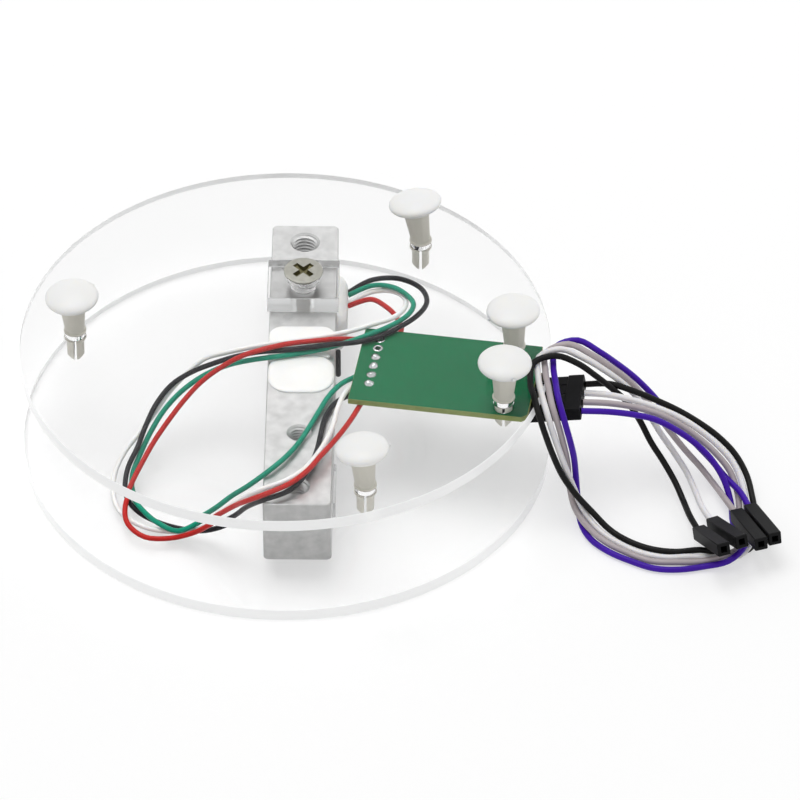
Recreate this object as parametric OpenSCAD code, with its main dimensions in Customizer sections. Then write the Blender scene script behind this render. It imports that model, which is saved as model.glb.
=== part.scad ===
// Digital load cell kit: a bar load cell between two clear round plates, with
// its small converter board and a four-wire jumper lead, lying upside down.
// Millimetres. The weighing plate's lower face centre is the origin, X to the
// right, Y away from the viewer, Z up.

/* [Plates] */

// Diameter of both round plates
plate_d = 100; // [90:1:120]
// Thickness of both round plates
plate_t = 2.5; // [2:0.1:4]
// Straight part of the weighing plate's hole under the sunk screw head
sink_land = 0.7; // [0.5:0.1:1]
// Plain hole in the base plate for its single screw
plate_screw_hole_d = 6.1; // [5:0.1:7]
// Distance of the screw hole from each plate's own centre
plate_screw_off = 20.2; // [18:0.1:22]
// Turn of the base plate about its screw, seen from above
base_turn = -8.5; // [-12:0.5:0]

/* [Load cell bar] */

// Length of the bar
bar_l = 80; // [75:0.5:90]
// Width of the bar across
bar_w = 12.7; // [12:0.1:13]
// Height of the bar
bar_h = 12.7; // [12.7:0.1:13]
// Radius on the four upright end edges
bar_edge_r = 1; // [0.5:0.1:2]
// Distance of the outer tapped holes from each end
outer_hole_off = 5; // [4.5:0.1:6]
// Core diameter of the M5 outer hole at the far end
m5_core_d = 4.2; // [4:0.1:4.4]
// Core diameter of the M4 tapped holes
m4_core_d = 3.4; // [3.3:0.05:3.5]
// Mouth diameter of the M5 hole's chamfer
m5_mouth_d = 5.5; // [5:0.1:6]
// Mouth diameter of the M4 holes' chamfers
m4_mouth_d = 4.3; // [4:0.1:4.6]
// Diameter of the two round windows of the bending cut-out
window_d = 9.6; // [8:0.1:10]
// Centre distance of the two round windows
window_pitch = 12; // [11:0.5:16]
// Height of the slot that joins the windows
window_slot_h = 4; // [3:0.1:5]

/* [Spacers and plate screws] */

// Spacer size across the bar
spacer_w = 13.6; // [12.8:0.1:15]
// Spacer size along the bar
spacer_l = 11.3; // [10:0.1:12]
// Spacer thickness
spacer_t = 3.5; // [3:0.1:5]
// Plain hole through each spacer
spacer_hole_d = 4.6; // [4.5:0.1:5]
// Shank diameter of the plate screws
screw_shank_d = 3.3; // [3.2:0.05:3.35]
// Diameter of the countersunk screw heads
screw_head_d = 7.45; // [7:0.05:8]
// Edge height of the screw heads
screw_head_edge = 0.25; // [0.2:0.05:0.4]
// How far the middle of the head rises above its edge
screw_head_dome = 0.15; // [0.1:0.05:0.2]
// Length of the screws under the head
screw_l = 14; // [10:0.5:16]
// Width across the cross recess
recess_w = 4.6; // [4.2:0.1:4.8]
// Width of one arm of the cross recess
recess_arm = 1.1; // [0.8:0.05:1.2]
// Depth of the cross recess
recess_deep = 0.7; // [0.5:0.05:0.8]

/* [Gauges and sealant] */

// Length of one strain gauge foil
gauge_l = 4; // [3:0.5:6]
// Width of one strain gauge foil
gauge_w = 4; // [3:0.1:5]
// Thickness of a glued foil
gauge_t = 0.2; // [0.1:0.05:0.3]
// Far edge of the sealant on the bar's upper face
seal_far_y = 9.9; // [8:0.1:11]
// Near edge of the sealant on the bar's upper face
seal_near_y = -9; // [-11:0.1:-8.5]
// Thickness of the sealant layers
seal_t = 0.5; // [0.4:0.05:0.5]
// Width of the shallow groove across the sealant
seal_groove_w = 1.7; // [1:0.1:2.5]
// How far the sealant stands off the bar's side at the wire exit
seal_side_t = 2; // [1.5:0.1:2.2]
// Length of the sealant on the bar's side
seal_side_l = 14.2; // [12:0.1:16]
// Height of the sealant on the bar's side
seal_side_h = 9.6; // [8:0.1:11]
// Length and height of its flat outer face, as a share of the whole
seal_side_flat = 0.7; // [0.5:0.05:0.8]
// Length of the short lead that shows on the bar's side
lead_l = 6.4; // [5:0.1:8]

/* [Feet] */

// Diameter of the domed foot head
foot_head_d = 10.1; // [9:0.1:11]
// Half of the head's thickness
foot_head_half = 1.7; // [1.4:0.1:2]
// Height of the head's widest ring above the plate
foot_head_z = 8.2; // [7:0.1:9]
// Width of the stem just under the head
foot_stem_top_d = 5.1; // [4.7:0.1:5.4]
// Width of the stem at its foot
foot_stem_low_d = 3.5; // [3.3:0.1:4]
// Diameter of the seat collar on the plate
foot_collar_d = 4.3; // [4.1:0.1:4.8]
// Height of the seat collar
foot_collar_h = 0.4; // [0.3:0.05:0.6]
// Diameter of the push-in shank
foot_shank_d = 3.3; // [3:0.05:3.4]
// Play of the shank in its hole, on the diameter
foot_hole_play = 0.4; // [0.2:0.05:0.6]
// Hole in the board for a foot's shank
board_hole_d = 3.5; // [3.4:0.05:3.7]
// Diameter of the snap barb under the plate or board
foot_barb_d = 4.3; // [4.2:0.05:4.5]
// Depth of the shank's tip below the plate's upper face
foot_tip_deep = 7.9; // [7.5:0.1:9]
// Width of the split in the shank
foot_split_w = 0.5; // [0.4:0.05:0.8]

/* [Circuit board] */

// Board length
board_l = 33.8; // [33:0.1:35]
// Board width
board_w = 20.6; // [20:0.1:21]
// Board thickness
board_t = 1.2; // [1:0.1:1.3]
// Height of the board's soldered face
board_top_z = 20.9; // [20.8:0.05:21]
// Pitch of both pad rows
pad_pitch = 2.54; // [2.5:0.01:2.6]
// Diameter of the plated pad holes
pad_hole_d = 1; // [0.9:0.05:1.1]
// Diameter of a solder dome
solder_d = 1.9; // [1.6:0.1:2.1]
// Height of a solder dome
solder_h = 0.5; // [0.4:0.05:0.6]
// Width of the square header pins
pin_w = 0.64; // [0.6:0.01:0.66]
// Length of the converter chip
chip_l = 10; // [9.8:0.1:10.4]
// Width of the converter chip's case
chip_w = 3.9; // [3.8:0.1:4]
// Height of the converter chip
chip_h = 1.4; // [1.2:0.05:1.6]
// Width of one chip leg
chip_leg_w = 0.4; // [0.35:0.05:0.45]
// Length of one chip leg
chip_leg_l = 1; // [0.8:0.05:1.2]
// Length of a chip resistor or capacitor
small_l = 2; // [1.6:0.1:2.2]
// Width of a chip resistor or capacitor
small_w = 1.2; // [0.8:0.1:1.3]
// Height of a chip resistor or capacitor
small_h = 0.6; // [0.4:0.05:0.7]
// Length of the regulator transistor
transistor_l = 2.9; // [2.8:0.05:3.1]
// Width of the regulator transistor
transistor_w = 1.3; // [1.2:0.05:1.4]

/* [Housings] */

// Length of all push-on housings
housing_l = 14; // [13.5:0.1:14.5]
// Thickness of all housings, and width of a single one
housing_w = 2.5; // [2.45:0.01:2.54]
// Width of the four-way housing
four_way_w = 10.1; // [10:0.05:10.2]
// Side of the square mouths
mouth_w = 1.2; // [1.1:0.05:1.4]
// Depth of the mouths and of the wire entries
mouth_deep = 7; // [6:0.5:7]
// Width of the square crimp contacts
contact_w = 1.15; // [1:0.05:1.2]
// Bore of a contact
contact_bore = 0.8; // [0.75:0.05:0.9]
// Length of a contact
contact_l = 6.4; // [6:0.1:6.8]

/* [Wires] */

// Diameter of the sensor wires
sensor_wire_d = 1; // [0.9:0.05:1.1]
// Diameter of the jumper wires
jumper_wire_d = 1.2; // [1.1:0.05:1.3]

/* [Hidden] */

// Lower face of the pan spacer
pan_spacer_z = plate_t;
// Lower face of the bar
bar_z = plate_t + spacer_t;
// Upper face of the bar
bar_top = bar_z + bar_h;
// Lower face of the base plate
base_z = bar_top + spacer_t;
// Upper face of the base plate
base_top = base_z + plate_t;
// Distance of the inner tapped holes from each end
inner_hole_off = bar_l / 4;
// Across position of the bar's middle line
bar_x = 2.84;
// Along position of the bar's middle
bar_y = -0.2;
// Along position of the pan screw
pan_screw_y = bar_y - bar_l / 2 + inner_hole_off;
// Along position of the base screw
base_screw_y = bar_y + bar_l / 2 - inner_hole_off;
// Turn of the weighing plate about its screw
pan_turn = 8;
// Middle of the base plate
base_mid = [
    bar_x - plate_screw_off * sin(-base_turn),
    base_screw_y - plate_screw_off * cos(base_turn)
];
// Hole in the base plate for each foot's shank
foot_hole_d = foot_shank_d + foot_hole_play;
// Middle of the board
board_mid = [30.06, -5.4];
// Turn of the board
board_turn = -8.5;
// Place of a board foot, from the board's right end and its middle line
function board_spot(in_x, y) = let (x = board_l / 2 - in_x) [
    board_mid[0] + x * cos(board_turn) - y * sin(board_turn),
    board_mid[1] + x * sin(board_turn) + y * cos(board_turn)
];
// Place of the left foot on the base plate
foot_a = [-39.8, 3.0];
// Place of the far foot on the base plate
foot_b = [25.0, 30.1];
// Place of the board's far foot
foot_c = board_spot(4.93, 6.79);
// Place of the board's near foot
foot_d = board_spot(4.71, -7.99);
// Place of the near foot on the base plate
foot_e = [15.5, -39.9];
// Lean of each foot to the right and away, in degrees
lean_a = [-3, 0];
lean_b = [-8, 10];
lean_c = [-2, 3];
lean_d = [1, 1];
lean_e = [-4, 5];
// Under face of the board
board_z = board_top_z - board_t;
// Pad row of the sensor wires along the board
pad_x = -board_l / 2 + 3.2;
// Row of the header's pins along the board
header_x = board_l / 2 - 6.0;
// First pad of the sensor row across the board
pad_y0 = 7.4;
// Height where the header pins are bent
pin_run_z = 16.8;
// Height of the header's plastic strip
strip_h = 2.5;
// Distance of the four-way housing's mouth from the pin row
four_way_start = 1.4;
// Turn and lift of the four-way housing
four_way_turn = -6;
four_way_lift = 10;
// Offset of the header's middle across the board
header_y = -0.6;
// Height of the single housings' wire ends, which lie on the lead
single_rest_z = 1.45;
// Single housings: wire end, heading and lift
single_black = [77.7, -27.8];
single_white = [80.3, -25.3];
single_grey = [84.8, -22.9];
single_purple = [87.4, -21.4];
single_black_turn = -70;
single_white_turn = -66.5;
single_right_turn = -71.5;
single_black_lift = 27;
single_white_lift = 25;
single_right_lift = 17;
// Sides and steps of the wires
wire_sides = 8;
wire_steps = 2;
// Choice of one sub-part, or all
// All sub-parts
// Route of the black sensor wire
black_pts = [
    [11.3, 25.6, 14], [15.3, 26.4, 16.3], [19.6, 25.5, 17.8], [23.1, 22.8, 19.1], [25.6, 19, 20.2],
    [26.3, 14.5, 21], [24.6, 10.3, 21.5], [21.4, 6.9, 21.6], [17.6, 4.1, 21.6], [13.3, 2.3, 21.6],
    [8.7, 2, 21.3], [4.1, 1.4, 21], [-0.6, 1, 20.6], [-5.2, 1, 20.1], [-9.7, 1.1, 18.8],
    [-14, 1.2, 16.9], [-18.1, 1.2, 14.7], [-21.9, -0, 12.4], [-24.7, -3.1, 10.2], [-26.5, -7, 8.3],
    [-27.9, -11.1, 6.6], [-29.6, -15.1, 4.9], [-29.9, -19.5, 3.5], [-27.8, -23.5, 3.1], [-24.2, -26.5, 3.1],
    [-20, -28.4, 3.1], [-15.5, -29.7, 3.6], [-11.8, -31.2, 5.9], [-9, -32.9, 9.2], [-7, -34.9, 12.9],
    [-5.2, -37.5, 16.4], [-2.9, -39.7, 19.5], [1.2, -38.1, 20.1], [3.7, -34.3, 19.8], [5.4, -29.9, 19.7],
    [6.4, -25.4, 19.5], [7, -20.7, 19.5], [7.8, -16.1, 19.4], [9.7, -11.9, 19.1], [12.8, -8.6, 18.5],
    [16.3, -5.7, 19.6]
];
// Route of the green sensor wire
green_pts = [
    [11.3, 24.3, 14.4], [15.6, 24.8, 16.4], [19.4, 22.6, 18.1], [22.1, 19, 19.5], [23.8, 14.7, 20.6],
    [22.7, 10.4, 21.4], [19.4, 7, 21.6], [15.3, 4.5, 21.5], [11, 3, 20.8], [6.4, 2.1, 19.9],
    [1.8, 0.9, 19.8], [-2.8, -0.1, 19.8], [-7.4, 0.1, 18.7], [-11.8, 0.6, 16.8], [-16, -0, 14.7],
    [-19.8, -1.7, 12.5], [-23, -4.3, 10.1], [-25.4, -7.6, 7.7], [-27.3, -11.4, 5.5], [-28.7, -15.7, 4.1],
    [-28.5, -20.4, 3.8], [-26.6, -24.7, 4.3], [-23.6, -28.4, 4.4], [-19.7, -31, 4.7], [-15.6, -31.1, 7.1],
    [-12.6, -32.3, 10.5], [-9.4, -32.7, 14], [-6.3, -33.8, 17.5], [-2.7, -32.2, 19.6], [0.3, -28.6, 19.8],
    [2.7, -24.5, 19.7], [4.6, -20.1, 19.7], [6.3, -15.7, 19.7], [8.1, -11.3, 19.8], [10.5, -7.2, 19.5],
    [13.7, -3.8, 18.8], [17.2, -0.7, 19.6]
];
// Route of the white sensor wire
white_pts = [
    [11.3, 23, 13.6], [15.5, 24.3, 15.2], [19.6, 22.7, 16.9], [22.1, 19, 18.3], [22.1, 14.5, 19.6],
    [19.8, 10.5, 20.6], [16.1, 7.7, 21.4], [11.7, 6, 21.1], [7.1, 5, 20.7], [2.4, 4.4, 20.3],
    [-2.2, 3.6, 20.1], [-6.9, 3, 19.5], [-11.3, 3.5, 17.8], [-15.6, 3.8, 15.9], [-19.2, 2.3, 13.2],
    [-22.3, -0.2, 10.8], [-24.9, -3.6, 8.7], [-27.6, -7, 6.8], [-30.3, -10.5, 5.1], [-32, -14.7, 3.8],
    [-32.2, -19.4, 3.1], [-30.8, -23.9, 3.1], [-27.6, -27.3, 3.1], [-23.3, -29.1, 3.1], [-18.7, -29.9, 3.6],
    [-15.2, -31.8, 6.2], [-12.6, -33.5, 9.7], [-9.6, -34.6, 13.3], [-6.6, -35.8, 16.7], [-3.3, -37.1, 19.8],
    [0.9, -36.1, 21], [4.2, -32.7, 20.9], [6.4, -28.5, 20.7], [8.1, -24.1, 20.5], [9.2, -19.5, 20.2],
    [9.9, -14.8, 19.9], [11.1, -10.3, 19.7], [13.2, -6.1, 18.9], [16.8, -3.2, 19.6]
];
// Route of the red sensor wire
red_pts = [
    [11.3, 21.6, 14], [15.5, 21.3, 16], [18.4, 17.9, 17.2], [20.6, 13.8, 18], [21.5, 9.2, 18.4],
    [18.3, 6.1, 18.5], [13.8, 5.6, 19.4], [9.7, 4, 20.9], [5.3, 2.7, 21.5], [0.7, 1.8, 21.6],
    [-3.8, 0.4, 21.5], [-8.3, -0.5, 20.4], [-12.4, -1.4, 18.2], [-16.1, -2.9, 15.8], [-19.3, -5.5, 13.4],
    [-22.1, -8.3, 10.9], [-24.7, -11.2, 8.3], [-26.8, -14.9, 6.4], [-28.6, -19.1, 5.1], [-29.8, -23.6, 4.3],
    [-29.2, -28.2, 3.9], [-25.9, -31.2, 3.3], [-21.3, -31.5, 3.3], [-17.1, -32.2, 5.2], [-14.2, -33.9, 8.5],
    [-11.5, -35.4, 12], [-8.6, -37, 15.5], [-6.4, -39.4, 18.8], [-2.6, -39.6, 20.9], [1.5, -37.2, 21.2],
    [4.7, -33.8, 21.4], [7, -29.8, 21.4], [9.2, -25.6, 21], [11.1, -21.3, 20.4], [12.7, -17, 19.7],
    [14.1, -12.5, 18.9], [16.1, -8.3, 19.6]
];
// Route of the black jumper wire
jumper_black_pts = [
    [56.3, -5.4, 19.5], [60.9, -4.8, 19.1], [65.4, -5.3, 17.8], [69.7, -5.7, 15.9], [73.8, -6, 13.7],
    [77.7, -6.4, 11.1], [81.4, -7.4, 8.5], [84.7, -9.4, 5.8], [86.9, -12.7, 3.4], [87.9, -17, 1.8],
    [88.5, -21.5, 0.8], [88.7, -26.2, 0.7], [87, -30.4, 0.7], [82.6, -31.7, 0.7], [78, -30.7, 0.7],
    [73.4, -31.4, 0.8], [68.8, -30.8, 0.9], [64.6, -28.7, 0.9], [61, -25.8, 1.2], [57.7, -23.2, 3.3],
    [54.6, -22, 6.6], [52.1, -21.1, 10.4], [50.4, -20.7, 14.7], [49.1, -20.9, 19.2], [47.8, -20.4, 23.7],
    [46.7, -16.7, 25.6], [45.9, -12.1, 25.6], [46.5, -7.8, 26.8], [50.6, -6.4, 27.4], [54.8, -6.5, 25.6],
    [58.2, -6.3, 22.4], [61.4, -6, 18.9], [64.3, -5.7, 15.3], [66.7, -6.7, 11.6], [68.8, -9.1, 8.4],
    [71.2, -11.6, 5.7], [73.4, -14.8, 3.4], [75, -18.8, 2], [76.1, -23.3, 2.4], [77.7, -27.7, 2.6]
];
// Route of the white jumper wire
jumper_white_pts = [
    [56, -7.9, 19.5], [60.7, -7.8, 19], [65.3, -7.8, 17.7], [69.7, -7.8, 15.9], [73.9, -7.7, 13.5],
    [77.8, -8.2, 10.8], [81.4, -9.3, 7.9], [84.5, -11.4, 5], [86.2, -15.2, 2.6], [86.8, -19.6, 1],
    [87.3, -24.3, 0.8], [87.6, -28.9, 1.8], [85.3, -32.6, 1.2], [80.7, -32.7, 0.7], [75.9, -32.6, 0.7],
    [71.2, -32.9, 0.7], [66.6, -31.6, 0.7], [62.6, -29, 0.7], [59, -25.9, 1.1], [56.2, -22.6, 2.9],
    [54.3, -20.3, 6.5], [52.8, -20.1, 11], [51.5, -20.2, 15.6], [50.2, -20.2, 20.2], [49, -19.4, 24.5],
    [47.9, -14.9, 25.7], [47.4, -10.2, 25.4], [47.5, -5.7, 26.4], [51.6, -4.4, 27.3], [55.9, -4.7, 25.4],
    [59.5, -4.2, 22.3], [62.7, -3.5, 18.8], [65.8, -3.6, 15.2], [68.4, -5, 11.7], [70.8, -6.9, 8.4],
    [73.4, -9.4, 5.7], [75.7, -12.3, 3.4], [77.3, -16.4, 2.2], [78.4, -20.9, 2.6], [80.3, -25.3, 2.6]
];
// Route of the grey jumper wire
jumper_grey_pts = [
    [55.8, -10.5, 19.5], [60.6, -10.3, 19.1], [65.2, -9.8, 17.8], [69.6, -9.5, 16], [73.6, -9.2, 13.3],
    [77.3, -9.5, 10.3], [80.8, -10.5, 7.2], [83.8, -12.3, 3.9], [85.2, -16, 1.5], [85.5, -20.8, 0.7],
    [86, -25.5, 0.7], [85.5, -30.1, 1.3], [82.7, -33.5, 2], [78.1, -34.1, 0.9], [73.3, -34.4, 0.9],
    [68.6, -34.1, 0.9], [64.3, -32, 1], [60.3, -29.3, 1.2], [57, -26, 1.9], [54.5, -22.1, 3.2],
    [53.4, -19, 6.5], [53, -18.7, 11.3], [52.3, -19.2, 16], [51.3, -19.2, 20.7], [50, -18, 24.9],
    [49.3, -13.4, 25.5], [48.7, -8.6, 25.4], [48.9, -4, 26.1], [53, -2.7, 27.1], [57.2, -3.2, 25.1],
    [60.8, -2.8, 21.8], [64, -2.2, 18.3], [66.9, -2.3, 14.6], [69.7, -3.9, 11.2], [72.5, -5.9, 8.2],
    [75.3, -8.1, 5.6], [78.3, -10.6, 3.4], [80.9, -14.2, 2.2], [82.7, -18.5, 2.7], [84.8, -22.8, 2.6]
];
// Route of the purple jumper wire
jumper_purple_pts = [
    [55.5, -13, 19.5], [60.3, -12.7, 19.1], [64.8, -12, 17.9], [69.2, -11.3, 16.1], [73.1, -11, 13.4],
    [76.8, -11.3, 10.4], [80.1, -12.4, 7.2], [82.6, -14.7, 3.9], [83.9, -18.4, 1.3], [84.2, -23.1, 0.7],
    [85.4, -27.5, 1.6], [86.1, -31.9, 2.9], [83.1, -35, 1.9], [78.5, -35.4, 0.8], [73.8, -36.2, 0.7],
    [69.2, -35.9, 0.7], [64.8, -33.9, 0.7], [60.8, -31.4, 0.7], [57.5, -28, 0.7], [55.6, -23.7, 1.1],
    [55, -19.9, 3.8], [54.6, -18.6, 8.3], [54.2, -18.9, 13], [53.4, -19.5, 17.7], [52.3, -19.2, 22.3],
    [51.1, -16.2, 25.4], [50.6, -11.5, 25.2], [50.2, -6.7, 25.3], [50.7, -2.2, 26], [54.8, -1.1, 26.7],
    [58.9, -1.6, 24.3], [62.1, -0.9, 20.9], [65.4, -0.6, 17.4], [68.5, -1, 13.9], [71.5, -2.4, 10.7],
    [74.3, -4.3, 7.9], [77.4, -6.8, 5.9], [80.4, -9.6, 4.2], [83, -13, 3], [85.6, -16.9, 2.9],
    [87.4, -21.3, 2.6]
];

// A round plate with its screw hole, turned about that hole
module round_plate(turn, reach) {
    rotate([0, 0, turn])
        translate([0, reach, 0])
            cylinder(d = plate_d, h = plate_t, $fn = 180);
}

module weighing_plate() {
    sink = plate_t - sink_land;
    color([0.96, 0.97, 0.97, 0.4])
    translate([bar_x, pan_screw_y, 0])
    difference() {
        round_plate(pan_turn, plate_screw_off);
        translate([0, 0, -1])
            cylinder(d = spacer_hole_d, h = plate_t + 2, $fn = 48);
        translate([0, 0, -0.01])
            cylinder(d1 = screw_head_d + 0.2, d2 = spacer_hole_d,
                h = sink, $fn = 48);
    }
}

module base_plate() {
    color([0.96, 0.97, 0.97, 0.4])
    translate([0, 0, base_z])
    difference() {
        translate([bar_x, base_screw_y, 0])
            round_plate(base_turn, -plate_screw_off);
        translate([bar_x, base_screw_y, -1])
            cylinder(d = plate_screw_hole_d, h = plate_t + 2, $fn = 48);
        for (p = [foot_a, foot_b, foot_c, foot_d, foot_e])
            translate([p[0], p[1], -1])
                cylinder(d = foot_hole_d, h = plate_t + 2, $fn = 36);
    }
}

// A spacer block with its plain hole, centred on a screw
module spacer(y, z) {
    translate([bar_x, y, z])
    difference() {
        translate([-spacer_w / 2, -spacer_l / 2, 0])
            cube([spacer_w, spacer_l, spacer_t]);
        translate([0, 0, -1])
            cylinder(d = spacer_hole_d, h = spacer_t + 2, $fn = 36);
    }
}

module pan_spacer() {
    color([0.95, 0.96, 0.96, 0.5])
    spacer(pan_screw_y, pan_spacer_z);
}

module base_spacer() {
    color([0.95, 0.96, 0.96, 0.5])
    spacer(base_screw_y, bar_top);
}

// One tapped hole right through the bar, chamfered at both mouths
module tapped_hole(y, core, mouth) {
    chamfer = (mouth - core) / 2;
    translate([0, y, 0]) {
        translate([0, 0, -1])
            cylinder(d = core, h = bar_h + 2, $fn = 36);
        translate([0, 0, -0.01])
            cylinder(d1 = mouth, d2 = core, h = chamfer, $fn = 36);
        translate([0, 0, bar_h - chamfer + 0.01])
            cylinder(d1 = core, d2 = mouth, h = chamfer, $fn = 36);
    }
}

// The bar's block with its four upright end edges rounded
module bar_block() {
    in_x = bar_w / 2 - bar_edge_r;
    in_y = bar_l / 2 - bar_edge_r;
    translate([-bar_w / 2, -in_y, 0])
        cube([bar_w, 2 * in_y, bar_h]);
    translate([-in_x, -bar_l / 2, 0])
        cube([2 * in_x, bar_l, bar_h]);
    for (sx = [-1, 1], sy = [-1, 1])
        translate([sx * in_x, sy * in_y, 0])
            cylinder(r = bar_edge_r, h = bar_h, $fn = 32);
}

module load_cell_bar() {
    outer = bar_l / 2 - outer_hole_off;
    inner = bar_l / 2 - inner_hole_off;
    color([0.80, 0.81, 0.82])
    translate([bar_x, bar_y, bar_z])
    difference() {
        bar_block();
        tapped_hole(outer, m5_core_d, m5_mouth_d);
        tapped_hole(inner, m4_core_d, m4_mouth_d);
        tapped_hole(-inner, m4_core_d, m4_mouth_d);
        tapped_hole(-outer, m4_core_d, m4_mouth_d);
        for (s = [-1, 1])
            translate([-bar_w, s * window_pitch / 2, bar_h / 2])
                rotate([0, 90, 0])
                    cylinder(d = window_d, h = 2 * bar_w, $fn = 64);
        translate([-bar_w, -window_pitch / 2, bar_h / 2 - window_slot_h / 2])
            cube([2 * bar_w, window_pitch, window_slot_h]);
    }
}

// Cross recess, cut down from height zero
module cross_recess() {
    for (a = [0, 90])
        rotate([0, 0, a + 45])
            translate([-recess_w / 2, -recess_arm / 2, -recess_deep])
                cube([recess_w, recess_arm, recess_deep + 1]);
}

// Sunk screw whose head lies flush with the weighing face
module pan_screw() {
    sink = plate_t - sink_land;
    color([0.48, 0.46, 0.42])
    translate([bar_x, pan_screw_y, 0])
        mirror([0, 0, 1])
            difference() {
                union() {
                    translate([0, 0, -sink - 0.05])
                        cylinder(d1 = screw_shank_d, d2 = screw_head_d - 0.1,
                            h = sink, $fn = 48);
                    translate([0, 0, -screw_l])
                        cylinder(d = screw_shank_d, h = screw_l - 1, $fn = 36);
                }
                translate([0, 0, -0.05])
                    cross_recess();
            }
}

// Countersunk screw whose cone sits on the rim of the base plate's hole
module base_screw() {
    seat = (screw_head_d - plate_screw_hole_d) / 2;
    cone = (screw_head_d - screw_shank_d) / 2;
    head_h = seat + screw_head_edge + screw_head_dome;
    color([0.48, 0.46, 0.42])
    translate([bar_x, base_screw_y, base_top])
        difference() {
            union() {
                translate([0, 0, seat])
                    cylinder(d = screw_head_d, h = screw_head_edge, $fn = 48);
                translate([0, 0, seat - cone])
                    cylinder(d1 = screw_shank_d, d2 = screw_head_d, h = cone,
                        $fn = 48);
                translate([0, 0, seat + screw_head_edge])
                    cylinder(d1 = screw_head_d, d2 = screw_head_d * 0.7,
                        h = screw_head_dome, $fn = 48);
                translate([0, 0, -screw_l])
                    cylinder(d = screw_shank_d, h = screw_l, $fn = 36);
            }
            translate([0, 0, head_h])
                cross_recess();
        }
}

// Four foil gauges, two on each face over the thin walls
module strain_gauges() {
    color([0.55, 0.42, 0.25])
    for (s = [-1, 1], z = [bar_z - gauge_t, bar_top])
        translate([bar_x - gauge_w / 2,
            bar_y + s * window_pitch / 2 - gauge_l / 2, z])
            cube([gauge_w, gauge_l, gauge_t]);
}

// Half of the sealant's outline, rounded at its corners
module seal_pad(y0, y1, corner) {
    x0 = bar_x - bar_w / 2 + 0.1;
    x1 = bar_x + bar_w / 2 - 0.1;
    translate([x0, y0 + corner, 0])
        cube([x1 - x0, y1 - y0 - 2 * corner, seal_t]);
    translate([x0 + corner, y0, 0])
        cube([x1 - x0 - 2 * corner, y1 - y0, seal_t]);
    for (x = [x0 + corner, x1 - corner], y = [y0 + corner, y1 - corner])
        translate([x, y, 0])
            cylinder(r = corner, h = seal_t, $fn = 32);
}

// One sealant layer with a shallow groove and pockets for the gauges
module seal_layer() {
    mid = 2.5;
    difference() {
        seal_pad(seal_near_y, seal_far_y, 3.4);
        translate([bar_x - bar_w, mid - seal_groove_w / 2, seal_t * 0.5])
            cube([2 * bar_w, seal_groove_w, seal_t]);
        for (s = [-1, 1])
            translate([bar_x - gauge_w / 2,
                bar_y + s * window_pitch / 2 - gauge_l / 2, -1])
                cube([gauge_w, gauge_l, 1 + gauge_t]);
    }
}

module sealant_top() {
    color([0.94, 0.94, 0.93])
    translate([0, 0, bar_top])
        seal_layer();
}

module sealant_bottom() {
    color([0.94, 0.94, 0.93])
    translate([0, 0, bar_z])
        mirror([0, 0, 1])
            seal_layer();
}

// Smooth blob on the bar's side, flat where the wires leave it
module sealant_side() {
    skin = 0.2;
    color([0.94, 0.94, 0.93])
    translate([bar_x + bar_w / 2, base_screw_y + 0.9, bar_z + bar_h * 0.55])
        hull() {
            translate([0, -seal_side_l / 2, -seal_side_h / 2])
                cube([skin, seal_side_l, seal_side_h]);
            translate([seal_side_t - skin, -seal_side_l * seal_side_flat / 2,
                -seal_side_h * seal_side_flat / 2])
                cube([skin, seal_side_l * seal_side_flat,
                    seal_side_h * seal_side_flat]);
        }
}

// Short black lead that shows on the bar's side
module gauge_lead() {
    color([0.15, 0.15, 0.16])
    translate([bar_x + bar_w / 2 + sensor_wire_d / 2, 4.2,
        bar_top - 0.8 - lead_l])
        cylinder(d = sensor_wire_d, h = lead_l, $fn = 16);
}

// Right half of the head's profile, from the stem to its crown
function head_profile() = concat(
    [[0, foot_head_z - foot_head_half * 0.8]],
    [for (a = [-50 : 20 : 90])
        [foot_head_d / 2 * cos(a), foot_head_z + foot_head_half * sin(a)]]
);

// A push-in foot: seat at height zero, shank down, head up; grip is the
// thickness of what the shank passes through
module push_foot(lean, grip) {
    difference() {
        union() {
            translate([0, 0, -foot_tip_deep + 1.2])
                cylinder(d = foot_shank_d, h = foot_tip_deep - 1, $fn = 24);
            translate([0, 0, -foot_tip_deep])
                cylinder(d1 = 1.8, d2 = foot_shank_d, h = 1.2, $fn = 24);
            translate([0, 0, -grip - 1.1])
                cylinder(d1 = foot_shank_d, d2 = foot_barb_d, h = 1, $fn = 24);
        }
        translate([-foot_split_w / 2, -foot_barb_d, -foot_tip_deep - 1])
            cube([foot_split_w, 2 * foot_barb_d, foot_tip_deep - 0.5]);
    }
    cylinder(d = foot_collar_d, h = foot_collar_h, $fn = 36);
    translate([0, 0, foot_collar_h / 2])
        rotate([-lean[1], lean[0], 0])
            translate([0, 0, -foot_collar_h / 2]) {
                translate([0, 0, foot_collar_h * 0.7])
                    cylinder(d1 = foot_stem_low_d, d2 = foot_stem_top_d,
                        h = foot_head_z - foot_collar_h, $fn = 8);
                rotate_extrude($fn = 40)
                    polygon(head_profile());
            }
}

module foot_at(p, lean, grip) {
    color([0.90, 0.90, 0.88])
    translate([p[0], p[1], base_top])
        push_foot(lean, grip);
}

module foot_left() {
    foot_at(foot_a, lean_a, plate_t);
}

module foot_far() {
    foot_at(foot_b, lean_b, plate_t);
}

module foot_near() {
    foot_at(foot_e, lean_e, plate_t);
}

module board_foot_far() {
    foot_at(foot_c, lean_c, base_top - board_z);
}

module board_foot_near() {
    foot_at(foot_d, lean_d, base_top - board_z);
}

// Moves its children into the board's own frame, board under face at zero
module on_board() {
    translate([board_mid[0], board_mid[1], board_z])
        rotate([0, 0, board_turn])
            children();
}

// Across position of sensor pad n and of header pin n
function pad_y(n) = pad_y0 - n * pad_pitch;
function pin_y(n) = (1.5 - n) * pad_pitch + header_y;

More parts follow.
